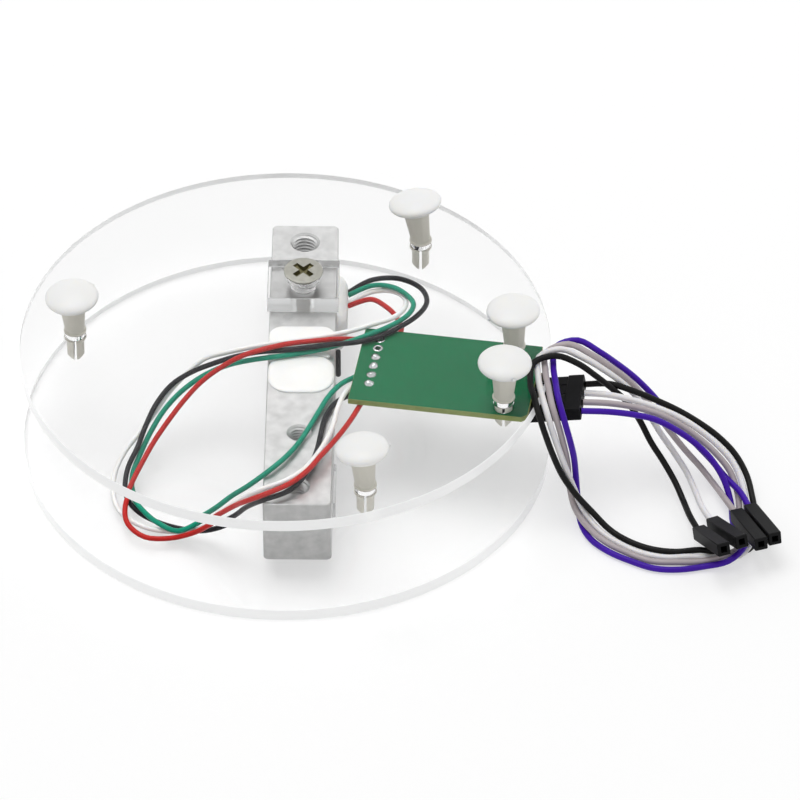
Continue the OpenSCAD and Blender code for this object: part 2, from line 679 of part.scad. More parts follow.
module circuit_board() {
    color([0.15, 0.49, 0.35])
    difference() {
        on_board()
            translate([-board_l / 2, -board_w / 2, 0])
                difference() {
                    cube([board_l, board_w, board_t]);
                    translate([board_l, 0, -1])
                        rotate([0, 0, 45])
                            translate([-0.7, -0.7, 0])
                                cube([1.4, 1.4, board_t + 2]);
                }
        for (p = [foot_c, foot_d])
            translate([p[0], p[1], board_z - 1])
                cylinder(d = board_hole_d, h = board_t + 2, $fn = 36);
        on_board() {
            for (n = [0 : 5])
                translate([pad_x, pad_y(n), -1])
                    cylinder(d = pad_hole_d, h = board_t + 2, $fn = 24);
            for (n = [0 : 3])
                translate([header_x, pin_y(n), -1])
                    cylinder(d = pad_hole_d, h = board_t + 2, $fn = 24);
        }
    }
}

// Solder domes on the pads: rings on the two free ones
module solder_joints() {
    low = board_t;
    color([0.78, 0.79, 0.80])
    on_board() {
        for (n = [0, 1])
            translate([pad_x, pad_y(n), low])
                difference() {
                    cylinder(d = solder_d, h = 0.12, $fn = 24);
                    translate([0, 0, -1])
                        cylinder(d = pad_hole_d, h = 3, $fn = 24);
                }
        for (n = [2 : 5])
            translate([pad_x, pad_y(n), low])
                cylinder(d1 = solder_d, d2 = 0.9, h = solder_h, $fn = 24);
        for (n = [0 : 3])
            translate([header_x, pin_y(n), low])
                difference() {
                    cylinder(d1 = solder_d, d2 = 1.1, h = solder_h, $fn = 24);
                    translate([-pin_w / 2, -pin_w / 2, -1])
                        cube([pin_w, pin_w, 3]);
                }
    }
}

// The converter chip with its two rows of legs, hanging under the board
module converter_chip() {
    color([0.12, 0.12, 0.13])
    on_board()
        mirror([0, 0, 1])
            translate([-1.5, -1.0, 0]) {
                translate([-chip_l / 2, -chip_w / 2, 0.15])
                    cube([chip_l, chip_w, chip_h]);
                for (n = [-3.5 : 1 : 3.5], s = [-1, 1])
                    translate([n * chip_l / 7.9 - chip_leg_w / 2,
                        s * (chip_w / 2 + 0.2) - (s < 0 ? 0.8 : 0.2) * chip_leg_l,
                        0])
                        cube([chip_leg_w, chip_leg_l, 0.18]);
            }
}

module regulator_transistor() {
    color([0.12, 0.12, 0.13])
    on_board()
        mirror([0, 0, 1])
            translate([board_l / 2 - 9.9, 6.2, 0]) {
                translate([-transistor_l / 2, -transistor_w / 2, 0.1])
                    cube([transistor_l, transistor_w, 1]);
                for (x = [-1.15, 0.75])
                    translate([x, -transistor_w / 2 - 0.5, 0])
                        cube([0.4, 0.8, 0.15]);
                translate([-0.2, transistor_w / 2 - 0.3, 0])
                    cube([0.4, 0.8, 0.15]);
            }
}

// Chip resistors and capacitors, one size
module small_components() {
    color([0.62, 0.52, 0.38])
    on_board()
        mirror([0, 0, 1])
            for (p = [[-8, 7], [-5, 7], [-2, 7], [1, 7], [-8, -7.5],
                [-5, -7.5], [-2, -7.5], [1, -7.5], [4, -7.5]])
                translate([p[0] - small_l / 2, p[1] - small_w / 2, 0])
                    cube([small_l, small_w, small_h]);
}

module header_strip() {
    color([0.12, 0.12, 0.13])
    on_board()
        difference() {
            translate([header_x - 1.25, pin_y(3) - 1.25, -strip_h])
                cube([2.5, 3 * pad_pitch + 2.5, strip_h]);
            for (n = [0 : 3])
                translate([header_x - pin_w / 2, pin_y(n) - pin_w / 2, -5])
                    cube([pin_w, pin_w, 10]);
        }
}

// Square pins: upright through the board, then bent to the right
module header_pins() {
    drop = board_z - pin_run_z;
    color([0.80, 0.72, 0.45])
    on_board()
        for (n = [0 : 3]) {
            translate([header_x - pin_w / 2, pin_y(n) - pin_w / 2, -drop])
                cube([pin_w, pin_w, board_t + 0.8 + drop]);
            translate([header_x, pin_y(n), -drop])
                rotate([0, 0, four_way_turn - board_turn])
                    rotate([0, -four_way_lift, 0])
                        translate([-pin_w / 2, -pin_w / 2, -pin_w / 2])
                            cube([7.5, pin_w, pin_w]);
        }
}

// Moves its children to the four-way housing: x along it from its mouth end
module at_four_way() {
    on_board()
        translate([header_x, header_y, pin_run_z - board_z])
            rotate([0, 0, four_way_turn - board_turn])
                rotate([0, -four_way_lift, 0])
                    translate([four_way_start, 0, 0])
                        children();
}

// Across place of way n, following the header's pins
function way_y(n) = (1.5 - n) * pad_pitch
    * cos(four_way_turn - board_turn);

module four_way_housing() {
    color([0.13, 0.13, 0.14])
    at_four_way()
    difference() {
        union() {
            translate([0, -four_way_w / 2, -housing_w / 2])
                cube([housing_l, four_way_w, housing_w]);
            translate([housing_l - 3, -four_way_w / 2, -housing_w / 2])
                cube([3, four_way_w, housing_w + 0.25]);
        }
        for (n = [0 : 3]) {
            translate([-1, way_y(n) - mouth_w / 2, -mouth_w / 2])
                cube([housing_l + 2, mouth_w, mouth_w]);
            translate([4, way_y(n) - 0.55, 0])
                cube([3, 1.1, housing_w]);
        }
    }
}

// One square crimp contact with its bore, x along it
module contact(x, y) {
    translate([x, y - contact_w / 2, -contact_w / 2])
        difference() {
            cube([contact_l, contact_w, contact_w]);
            translate([-1, (contact_w - contact_bore) / 2,
                (contact_w - contact_bore) / 2])
                cube([contact_l + 2, contact_bore, contact_bore]);
        }
}

module four_way_contacts() {
    color([0.72, 0.68, 0.55])
    at_four_way()
        for (n = [0 : 3])
            contact(7.2, way_y(n));
}

// Moves its children to a single housing: x along it from its wire end
module at_single(p, turn, lift) {
    translate([p[0], p[1], housing_w / 2 * cos(lift) + single_rest_z])
        rotate([0, 0, turn])
            rotate([0, -lift, 0])
                children();
}

module single_housing(p, turn, lift) {
    color([0.13, 0.13, 0.14])
    at_single(p, turn, lift)
    difference() {
        translate([0, -housing_w / 2, -housing_w / 2])
            cube([housing_l, housing_w, housing_w]);
        translate([-1, -mouth_w / 2, -mouth_w / 2])
            cube([housing_l + 2, mouth_w, mouth_w]);
        translate([housing_l - 7, -0.55, 0])
            cube([3, 1.1, housing_w]);
    }
}

module single_housing_black() {
    single_housing(single_black, single_black_turn, single_black_lift);
}

module single_housing_white() {
    single_housing(single_white, single_white_turn, single_white_lift);
}

module single_housing_grey() {
    single_housing(single_grey, single_right_turn, single_right_lift);
}

module single_housing_purple() {
    single_housing(single_purple, single_right_turn, single_right_lift);
}

module single_contacts() {
    color([0.72, 0.68, 0.55]) {
        at_single(single_black, single_black_turn, single_black_lift)
            contact(1, 0);
        at_single(single_white, single_white_turn, single_white_lift)
            contact(1, 0);
        at_single(single_grey, single_right_turn, single_right_lift)
            contact(1, 0);
        at_single(single_purple, single_right_turn, single_right_lift)
            contact(1, 0);
    }
}

// Point on a smooth curve through b and c, t from 0 to 1
function curve_at(a, b, c, d, t) = 0.5 * (2 * b + (c - a) * t
    + (2 * a - 5 * b + 4 * c - d) * t * t
    + (3 * b - a - 3 * c + d) * t * t * t);

// Curve points through a route, steps per stretch
function curve(p, steps) = let (n = len(p) - 1) concat(
    [for (i = [0 : n - 1], j = [0 : steps - 1])
        curve_at(i > 0 ? p[i - 1] : 2 * p[0] - p[1], p[i], p[i + 1],
            i < n - 1 ? p[i + 2] : 2 * p[n] - p[n - 1], j / steps)],
    [p[n]]
);

function unit(v) = v / norm(v);

// Direction of the curve at point i
function heading(p, i) = unit(p[min(i + 1, len(p) - 1)] - p[max(i - 1, 0)]);

// Side vectors carried along the curve without twist
function sides(p, i, u) = let (
    t = heading(p, i),
    v = unit(u - (u * t) * t)
) i == len(p) - 1 ? [v] : concat([v], sides(p, i + 1, v));

// A round wire swept along a route
module wire(route, d) {
    p = curve(route, wire_steps);
    u = sides(p, 0, [0, 0, 1]);
    n = wire_sides;
    last = len(p) - 1;
    points = [for (i = [0 : last], k = [0 : n - 1])
        p[i] + d / 2 * (cos(360 * k / n) * u[i]
            + sin(360 * k / n) * cross(heading(p, i), u[i]))];
    skin = [for (i = [0 : last - 1], k = [0 : n - 1])
        [i * n + k, i * n + (k + 1) % n,
            (i + 1) * n + (k + 1) % n, (i + 1) * n + k]];
    polyhedron(points, concat([[for (k = [n - 1 : -1 : 0]) k]], skin,
        [[for (k = [0 : n - 1]) last * n + k]]));
}

module sensor_wire_black() {
    color([0.21, 0.21, 0.23])
    wire(black_pts, sensor_wire_d);
}

module sensor_wire_green() {
    color([0.12, 0.59, 0.47])
    wire(green_pts, sensor_wire_d);
}

module sensor_wire_white() {
    color([0.93, 0.93, 0.92])
    wire(white_pts, sensor_wire_d);
}

module sensor_wire_red() {
    color([0.75, 0.20, 0.18])
    wire(red_pts, sensor_wire_d);
}

module jumper_wire_black() {
    color([0.16, 0.15, 0.15])
    wire(jumper_black_pts, jumper_wire_d);
}

module jumper_wire_white() {
    color([0.94, 0.93, 0.94])
    wire(jumper_white_pts, jumper_wire_d);
}

module jumper_wire_grey() {
    color([0.72, 0.69, 0.70])
    wire(jumper_grey_pts, jumper_wire_d);
}

module jumper_wire_purple() {
    color([0.32, 0.14, 0.72])
    wire(jumper_purple_pts, jumper_wire_d);
}

weighing_plate();
base_plate();
pan_spacer();
base_spacer();
load_cell_bar();
pan_screw();
base_screw();
strain_gauges();
sealant_top();
sealant_bottom();
sealant_side();
gauge_lead();
foot_left();
foot_far();
foot_near();
board_foot_far();
board_foot_near();
circuit_board();
converter_chip();
regulator_transistor();
small_components();
solder_joints();
header_strip();
header_pins();
four_way_housing();
four_way_contacts();
single_housing_black();
single_housing_white();
single_housing_grey();
single_housing_purple();
single_contacts();
sensor_wire_black();
sensor_wire_green();
sensor_wire_white();
sensor_wire_red();
jumper_wire_black();
jumper_wire_white();
jumper_wire_grey();
jumper_wire_purple();
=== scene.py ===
"""Dressed model of a digital load cell between two clear round plates.

The object lies upside down on its weighing plate. Lengths in this file are
millimetres and are turned to metres where a mesh is made. The frame is the
CAD frame: the origin is the middle of the weighing plate's lower face, +X
points right, +Y away from the camera and +Z up.
"""

import logging
import math
from dataclasses import dataclass, field
from enum import Enum
from typing import Sequence

import bmesh
import bpy
from mathutils import Matrix, Vector

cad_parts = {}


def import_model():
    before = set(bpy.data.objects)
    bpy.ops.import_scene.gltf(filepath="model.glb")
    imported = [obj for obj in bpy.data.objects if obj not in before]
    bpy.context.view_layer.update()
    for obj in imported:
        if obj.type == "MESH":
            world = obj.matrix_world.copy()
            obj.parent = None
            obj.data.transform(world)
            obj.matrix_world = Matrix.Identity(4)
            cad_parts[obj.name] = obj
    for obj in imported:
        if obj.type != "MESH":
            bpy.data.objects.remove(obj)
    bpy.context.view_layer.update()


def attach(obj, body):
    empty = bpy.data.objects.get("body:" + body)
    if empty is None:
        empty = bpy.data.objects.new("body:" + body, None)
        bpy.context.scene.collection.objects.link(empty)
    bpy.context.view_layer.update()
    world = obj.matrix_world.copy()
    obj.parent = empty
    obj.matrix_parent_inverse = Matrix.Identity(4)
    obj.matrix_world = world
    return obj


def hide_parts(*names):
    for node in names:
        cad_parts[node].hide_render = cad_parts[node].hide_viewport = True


Point = tuple[float, float, float]
Flat = tuple[float, float]
Route = tuple[Point, ...]
Colour = tuple[float, float, float, float]

LOG = logging.getLogger("load_cell")
MM = 0.001
PIXELS = 800

# Routes of the wires in millimetres, the same points as in the part's source
SENSOR_BLACK: Route = (
    (11.3, 25.6, 14), (15.3, 26.4, 16.3), (19.6, 25.5, 17.8), (23.1, 22.8, 19.1), (25.6, 19, 20.2),
    (26.3, 14.5, 21), (24.6, 10.3, 21.5), (21.4, 6.9, 21.6), (17.6, 4.1, 21.6), (13.3, 2.3, 21.6),
    (8.7, 2, 21.3), (4.1, 1.4, 21), (-0.6, 1, 20.6), (-5.2, 1, 20.1), (-9.7, 1.1, 18.8),
    (-14, 1.2, 16.9), (-18.1, 1.2, 14.7), (-21.9, -0, 12.4), (-24.7, -3.1, 10.2), (-26.5, -7, 8.3),
    (-27.9, -11.1, 6.6), (-29.6, -15.1, 4.9), (-29.9, -19.5, 3.5), (-27.8, -23.5, 3.1),
    (-24.2, -26.5, 3.1), (-20, -28.4, 3.1), (-15.5, -29.7, 3.6), (-11.8, -31.2, 5.9),
    (-9, -32.9, 9.2), (-7, -34.9, 12.9), (-5.2, -37.5, 16.4), (-2.9, -39.7, 19.5),
    (1.2, -38.1, 20.1), (3.7, -34.3, 19.8), (5.4, -29.9, 19.7), (6.4, -25.4, 19.5),
    (7, -20.7, 19.5), (7.8, -16.1, 19.4), (9.7, -11.9, 19.1), (12.8, -8.6, 18.5),
    (16.3, -5.7, 19.6),
)
SENSOR_GREEN: Route = (
    (11.3, 24.3, 14.4), (15.6, 24.8, 16.4), (19.4, 22.6, 18.1), (22.1, 19, 19.5),
    (23.8, 14.7, 20.6), (22.7, 10.4, 21.4), (19.4, 7, 21.6), (15.3, 4.5, 21.5), (11, 3, 20.8),
    (6.4, 2.1, 19.9), (1.8, 0.9, 19.8), (-2.8, -0.1, 19.8), (-7.4, 0.1, 18.7), (-11.8, 0.6, 16.8),
    (-16, -0, 14.7), (-19.8, -1.7, 12.5), (-23, -4.3, 10.1), (-25.4, -7.6, 7.7),
    (-27.3, -11.4, 5.5), (-28.7, -15.7, 4.1), (-28.5, -20.4, 3.8), (-26.6, -24.7, 4.3),
    (-23.6, -28.4, 4.4), (-19.7, -31, 4.7), (-15.6, -31.1, 7.1), (-12.6, -32.3, 10.5),
    (-9.4, -32.7, 14), (-6.3, -33.8, 17.5), (-2.7, -32.2, 19.6), (0.3, -28.6, 19.8),
    (2.7, -24.5, 19.7), (4.6, -20.1, 19.7), (6.3, -15.7, 19.7), (8.1, -11.3, 19.8),
    (10.5, -7.2, 19.5), (13.7, -3.8, 18.8), (17.2, -0.7, 19.6),
)
SENSOR_WHITE: Route = (
    (11.3, 23, 13.6), (15.5, 24.3, 15.2), (19.6, 22.7, 16.9), (22.1, 19, 18.3), (22.1, 14.5, 19.6),
    (19.8, 10.5, 20.6), (16.1, 7.7, 21.4), (11.7, 6, 21.1), (7.1, 5, 20.7), (2.4, 4.4, 20.3),
    (-2.2, 3.6, 20.1), (-6.9, 3, 19.5), (-11.3, 3.5, 17.8), (-15.6, 3.8, 15.9), (-19.2, 2.3, 13.2),
    (-22.3, -0.2, 10.8), (-24.9, -3.6, 8.7), (-27.6, -7, 6.8), (-30.3, -10.5, 5.1),
    (-32, -14.7, 3.8), (-32.2, -19.4, 3.1), (-30.8, -23.9, 3.1), (-27.6, -27.3, 3.1),
    (-23.3, -29.1, 3.1), (-18.7, -29.9, 3.6), (-15.2, -31.8, 6.2), (-12.6, -33.5, 9.7),
    (-9.6, -34.6, 13.3), (-6.6, -35.8, 16.7), (-3.3, -37.1, 19.8), (0.9, -36.1, 21),
    (4.2, -32.7, 20.9), (6.4, -28.5, 20.7), (8.1, -24.1, 20.5), (9.2, -19.5, 20.2),
    (9.9, -14.8, 19.9), (11.1, -10.3, 19.7), (13.2, -6.1, 18.9), (16.8, -3.2, 19.6),
)
SENSOR_RED: Route = (
    (11.3, 21.6, 14), (15.5, 21.3, 16), (18.4, 17.9, 17.2), (20.6, 13.8, 18), (21.5, 9.2, 18.4),
    (18.3, 6.1, 18.5), (13.8, 5.6, 19.4), (9.7, 4, 20.9), (5.3, 2.7, 21.5), (0.7, 1.8, 21.6),
    (-3.8, 0.4, 21.5), (-8.3, -0.5, 20.4), (-12.4, -1.4, 18.2), (-16.1, -2.9, 15.8),
    (-19.3, -5.5, 13.4), (-22.1, -8.3, 10.9), (-24.7, -11.2, 8.3), (-26.8, -14.9, 6.4),
    (-28.6, -19.1, 5.1), (-29.8, -23.6, 4.3), (-29.2, -28.2, 3.9), (-25.9, -31.2, 3.3),
    (-21.3, -31.5, 3.3), (-17.1, -32.2, 5.2), (-14.2, -33.9, 8.5), (-11.5, -35.4, 12),
    (-8.6, -37, 15.5), (-6.4, -39.4, 18.8), (-2.6, -39.6, 20.9), (1.5, -37.2, 21.2),
    (4.7, -33.8, 21.4), (7, -29.8, 21.4), (9.2, -25.6, 21), (11.1, -21.3, 20.4), (12.7, -17, 19.7),
    (14.1, -12.5, 18.9), (16.1, -8.3, 19.6),
)
JUMPER_BLACK: Route = (
    (56.3, -5.4, 19.5), (60.9, -4.8, 19.1), (65.4, -5.3, 17.8), (69.7, -5.7, 15.9),
    (73.8, -6, 13.7), (77.7, -6.4, 11.1), (81.4, -7.4, 8.5), (84.7, -9.4, 5.8), (86.9, -12.7, 3.4),
    (87.9, -17, 1.8), (88.5, -21.5, 0.8), (88.7, -26.2, 0.7), (87, -30.4, 0.7), (82.6, -31.7, 0.7),
    (78, -30.7, 0.7), (73.4, -31.4, 0.8), (68.8, -30.8, 0.9), (64.6, -28.7, 0.9), (61, -25.8, 1.2),
    (57.7, -23.2, 3.3), (54.6, -22, 6.6), (52.1, -21.1, 10.4), (50.4, -20.7, 14.7),
    (49.1, -20.9, 19.2), (47.8, -20.4, 23.7), (46.7, -16.7, 25.6), (45.9, -12.1, 25.6),
    (46.5, -7.8, 26.8), (50.6, -6.4, 27.4), (54.8, -6.5, 25.6), (58.2, -6.3, 22.4),
    (61.4, -6, 18.9), (64.3, -5.7, 15.3), (66.7, -6.7, 11.6), (68.8, -9.1, 8.4), (71.2, -11.6, 5.7),
    (73.4, -14.8, 3.4), (75, -18.8, 2), (76.1, -23.3, 2.4), (77.7, -27.7, 2.6),
)
JUMPER_WHITE: Route = (
    (56, -7.9, 19.5), (60.7, -7.8, 19), (65.3, -7.8, 17.7), (69.7, -7.8, 15.9), (73.9, -7.7, 13.5),
    (77.8, -8.2, 10.8), (81.4, -9.3, 7.9), (84.5, -11.4, 5), (86.2, -15.2, 2.6), (86.8, -19.6, 1),
    (87.3, -24.3, 0.8), (87.6, -28.9, 1.8), (85.3, -32.6, 1.2), (80.7, -32.7, 0.7),
    (75.9, -32.6, 0.7), (71.2, -32.9, 0.7), (66.6, -31.6, 0.7), (62.6, -29, 0.7), (59, -25.9, 1.1),
    (56.2, -22.6, 2.9), (54.3, -20.3, 6.5), (52.8, -20.1, 11), (51.5, -20.2, 15.6),
    (50.2, -20.2, 20.2), (49, -19.4, 24.5), (47.9, -14.9, 25.7), (47.4, -10.2, 25.4),
    (47.5, -5.7, 26.4), (51.6, -4.4, 27.3), (55.9, -4.7, 25.4), (59.5, -4.2, 22.3),
    (62.7, -3.5, 18.8), (65.8, -3.6, 15.2), (68.4, -5, 11.7), (70.8, -6.9, 8.4), (73.4, -9.4, 5.7),
    (75.7, -12.3, 3.4), (77.3, -16.4, 2.2), (78.4, -20.9, 2.6), (80.3, -25.3, 2.6),
)
JUMPER_GREY: Route = (
    (55.8, -10.5, 19.5), (60.6, -10.3, 19.1), (65.2, -9.8, 17.8), (69.6, -9.5, 16),
    (73.6, -9.2, 13.3), (77.3, -9.5, 10.3), (80.8, -10.5, 7.2), (83.8, -12.3, 3.9),
    (85.2, -16, 1.5), (85.5, -20.8, 0.7), (86, -25.5, 0.7), (85.5, -30.1, 1.3), (82.7, -33.5, 2),
    (78.1, -34.1, 0.9), (73.3, -34.4, 0.9), (68.6, -34.1, 0.9), (64.3, -32, 1), (60.3, -29.3, 1.2),
    (57, -26, 1.9), (54.5, -22.1, 3.2), (53.4, -19, 6.5), (53, -18.7, 11.3), (52.3, -19.2, 16),
    (51.3, -19.2, 20.7), (50, -18, 24.9), (49.3, -13.4, 25.5), (48.7, -8.6, 25.4), (48.9, -4, 26.1),
    (53, -2.7, 27.1), (57.2, -3.2, 25.1), (60.8, -2.8, 21.8), (64, -2.2, 18.3), (66.9, -2.3, 14.6),
    (69.7, -3.9, 11.2), (72.5, -5.9, 8.2), (75.3, -8.1, 5.6), (78.3, -10.6, 3.4),
    (80.9, -14.2, 2.2), (82.7, -18.5, 2.7), (84.8, -22.8, 2.6),
)
JUMPER_PURPLE: Route = (
    (55.5, -13, 19.5), (60.3, -12.7, 19.1), (64.8, -12, 17.9), (69.2, -11.3, 16.1),
    (73.1, -11, 13.4), (76.8, -11.3, 10.4), (80.1, -12.4, 7.2), (82.6, -14.7, 3.9),
    (83.9, -18.4, 1.3), (84.2, -23.1, 0.7), (85.4, -27.5, 1.6), (86.1, -31.9, 2.9),
    (83.1, -35, 1.9), (78.5, -35.4, 0.8), (73.8, -36.2, 0.7), (69.2, -35.9, 0.7),
    (64.8, -33.9, 0.7), (60.8, -31.4, 0.7), (57.5, -28, 0.7), (55.6, -23.7, 1.1), (55, -19.9, 3.8),
    (54.6, -18.6, 8.3), (54.2, -18.9, 13), (53.4, -19.5, 17.7), (52.3, -19.2, 22.3),
    (51.1, -16.2, 25.4), (50.6, -11.5, 25.2), (50.2, -6.7, 25.3), (50.7, -2.2, 26),
    (54.8, -1.1, 26.7), (58.9, -1.6, 24.3), (62.1, -0.9, 20.9), (65.4, -0.6, 17.4),
    (68.5, -1, 13.9), (71.5, -2.4, 10.7), (74.3, -4.3, 7.9), (77.4, -6.8, 5.9), (80.4, -9.6, 4.2),
    (83, -13, 3), (85.6, -16.9, 2.9), (87.4, -21.3, 2.6),
)


class Layer(Enum):
    """Whether an object belongs to the part or to the studio."""

    PART = "part"
    STUDIO = "studio"


def mm(*values: float) -> Vector:
    """Returns a point given in millimetres as metres."""
    return Vector(values) * MM


def linear(code: str) -> Colour:
    """Turns an sRGB hex colour into linear RGBA.

    Args:
        code: Six hex digits after a #.

    Returns:
        The colour as Blender's sockets take it.
    """
    parts = [int(code[i : i + 2], 16) / 255 for i in (1, 3, 5)]
    curve = [c / 12.92 if c <= 0.04045 else ((c + 0.055) / 1.055) ** 2.4 for c in parts]
    return (curve[0], curve[1], curve[2], 1.0)


def turn(axis: str, degrees: float) -> Matrix:
    """Returns a turn about one axis."""
    return Matrix.Rotation(math.radians(degrees), 4, axis)


def move(x: float, y: float, z: float) -> Matrix:
    """Returns a shift given in millimetres."""
    return Matrix.Translation(mm(x, y, z))


def board_frame() -> Matrix:
    """Returns the board's own frame, in the middle of its lower face."""
    return move(30.06, -5.4, 19.7) @ turn("Z", -8.5)


# ---------------------------------------------------------------- materials


@dataclass
class Shader:
    """The node tree of a material or a world, filled through a single method.

    Attributes:
        name: Name of the material.
        owner: What holds the tree; a new material if none is given.
    """

    name: str
    owner: bpy.types.Material | bpy.types.World | None = None

    def __post_init__(self) -> None:
        """Makes the owner if need be and empties its tree."""
        self.owner = self.owner or bpy.data.materials.new(self.name)
        self.owner.use_nodes = True
        self.owner.node_tree.nodes.clear()

    def node(self, kind: str, settings: dict | None = None, **sockets) -> bpy.types.Node:
        """Adds a node, sets its properties, and fills its sockets.

        Args:
            kind: The node's type name after ShaderNode.
            settings: Node properties by name.
            **sockets: Socket names with spaces as underscores, or i and the
                socket's number, each with a value or a (node, output) pair.

        Returns:
            The new node.
        """
        tree = self.owner.node_tree
        made = tree.nodes.new("ShaderNode" + kind)
        for key, value in (settings or {}).items():
            setattr(made, key, value)
        for key, value in sockets.items():
            numbered = key[0] == "i" and key[1:].isdigit()
            target = made.inputs[int(key[1:]) if numbered else key.replace("_", " ")]
            if isinstance(value, tuple) and isinstance(value[0], bpy.types.Node):
                tree.links.new(value[0].outputs[value[1]], target)
            else:
                target.default_value = value
        return made

    def done(self, surface: tuple[bpy.types.Node, str]) -> bpy.types.Material:
        """Links the surface shader to the output and returns the material."""
        self.node("OutputMaterial", Surface=surface)
        return self.owner


@dataclass(frozen=True)
class CastAcrylic:
    """Cast acrylic sheet, laser cut: clear, glossy faces and polished edges.

    Attributes:
        name: Name of the material.
        tint: Colour of the light that passes.
        roughness: Roughness of the surface.
        mirror: Tint of the mirrored light, black as the photo shows next to none.
        shade: Colour of the light that reaches what lies behind the sheet.
    """

    name: str = "cast_acrylic_laser_cut"
    tint: str = "#F9F9F9"
    roughness: float = 0.01
    mirror: str = "#000000"
    shade: str = "#F8F8F8"

    def make(self) -> bpy.types.Material:
        """Builds the material, which lets lamps light what is behind it."""
        s = Shader(self.name)
        place = s.node("TexCoord")
        # Slow waves 30 mm apart, as in cast sheet, bend the reflections a little
        waves = s.node("TexNoise", Vector=(place, "Object"), Scale=1 / (30 * MM), Detail=1.0)
        bump = s.node("Bump", Height=(waves, "Fac"), Distance=0.02 * MM, Strength=0.3)
        body = s.node(
            "BsdfPrincipled",
            Base_Color=linear(self.tint),
            Roughness=self.roughness,
            IOR=1.49,
            Specular_Tint=linear(self.mirror),
            Transmission_Weight=1.0,
            Normal=(bump, "Normal"),
        )
        clear = s.node("BsdfTransparent", Color=linear(self.shade))
        path = s.node("LightPath")
        both = s.node(
            "MixShader", i0=(path, "Is Shadow Ray"), i1=(body, "BSDF"), i2=(clear, "BSDF")
        )
        return s.done((both, "Shader"))


@dataclass(frozen=True)
class MilledAluminium:
    """Extruded aluminium bar with milled faces: pale grey, fine lines along it.

    Attributes:
        name: Name of the material.
        low: Darker of the two greys.
        high: Paler of the two greys.
        roughness: Lowest roughness.
    """

    name: str = "milled_aluminium"
    low: str = "#B2B2B2"
    high: str = "#E8E8E7"
    roughness: float = 0.32

    def make(self) -> bpy.types.Material:
        """Builds the material: cutter lines 0.2 mm apart and a soft mottle."""
        s = Shader(self.name)
        place = s.node("TexCoord")
        # Cutter lines run along the bar; 0.2 mm is drawn coarser than the real 0.05 mm
        along = s.node("Mapping", Vector=(place, "Object"), Scale=(5000.0, 300.0, 5000.0))
        lines = s.node("TexNoise", Vector=(along, "Vector"), Scale=1.0, Detail=3.0)
        mottle = s.node("TexNoise", Vector=(place, "Object"), Scale=1 / (2 * MM), Detail=7.0)
        colour = s.node(
            "Mix",
            {"data_type": "RGBA"},
            i0=(mottle, "Fac"),
            i6=linear(self.low),
            i7=linear(self.high),
        )
        gloss = s.node("MapRange", Value=(mottle, "Fac"), To_Min=self.roughness,
                       To_Max=self.roughness + 0.2)
        bump = s.node("Bump", Height=(lines, "Fac"), Distance=0.01 * MM, Strength=0.5)
        body = s.node(
            "BsdfPrincipled",
            Base_Color=(colour, 2),
            Metallic=1.0,
            Roughness=(gloss, "Result"),
            Normal=(bump, "Normal"),
        )
        return s.done((body, "BSDF"))


@dataclass(frozen=True)
class Moulded:
    """Plastic from a mould or an extruder: even colour and a fine grain.

    Attributes:
        name: Name of the material.
        low: Darker of its two shades.
        high: Paler of its two shades.
        roughness: Roughness of the surface.
        grain: Size of the surface grain, in millimetres.
        depth: Depth of the grain, in millimetres.
        inside: How far light travels inside, in millimetres, 0 for none.
        clear: Share of the light that passes through.
        index: Refractive index.
        shine: Specular level.
        glow: Painted glow: light the piece gives off as if it were lit, as a share of white.
    """

    name: str
    low: str
    high: str
    roughness: float = 0.45
    grain: float = 0.3
    depth: float = 0.004
    inside: float = 0.0
    clear: float = 0.0
    index: float = 1.5
    shine: float = 0.5
    glow: float = 0.0

    def make(self) -> bpy.types.Material:
        """Builds the material."""
        s = Shader(self.name)
        place = s.node("TexCoord")
        grain = s.node(
            "TexNoise", Vector=(place, "Object"), Scale=1 / (self.grain * MM), Detail=3.0
        )
        cloud = s.node(
            "TexNoise", Vector=(place, "Object"), Scale=1 / (self.grain * 9 * MM), Detail=2.0
        )
        colour = s.node(
            "Mix",
            {"data_type": "RGBA"},
            i0=(cloud, "Fac"),
            i6=linear(self.low),
            i7=linear(self.high),
        )
        bump = s.node("Bump", Height=(grain, "Fac"), Distance=self.depth * MM, Strength=0.6)
        body = s.node(
            "BsdfPrincipled",
            Base_Color=(colour, 2),
            Roughness=self.roughness,
            IOR=self.index,
            Transmission_Weight=self.clear,
            Specular_IOR_Level=self.shine,
            # Painted glow: emission that makes the piece look lit, whatever the lamps
            Emission_Color=linear("#FFFFFF"),
            Emission_Strength=self.glow,
            Normal=(bump, "Normal"),
        )
        if self.inside:
            body.inputs["Subsurface Weight"].default_value = 1.0
            body.inputs["Subsurface Scale"].default_value = self.inside * MM
            body.inputs["Subsurface Radius"].default_value = (1.0, 0.95, 0.85)
        return s.done((body, "BSDF"))


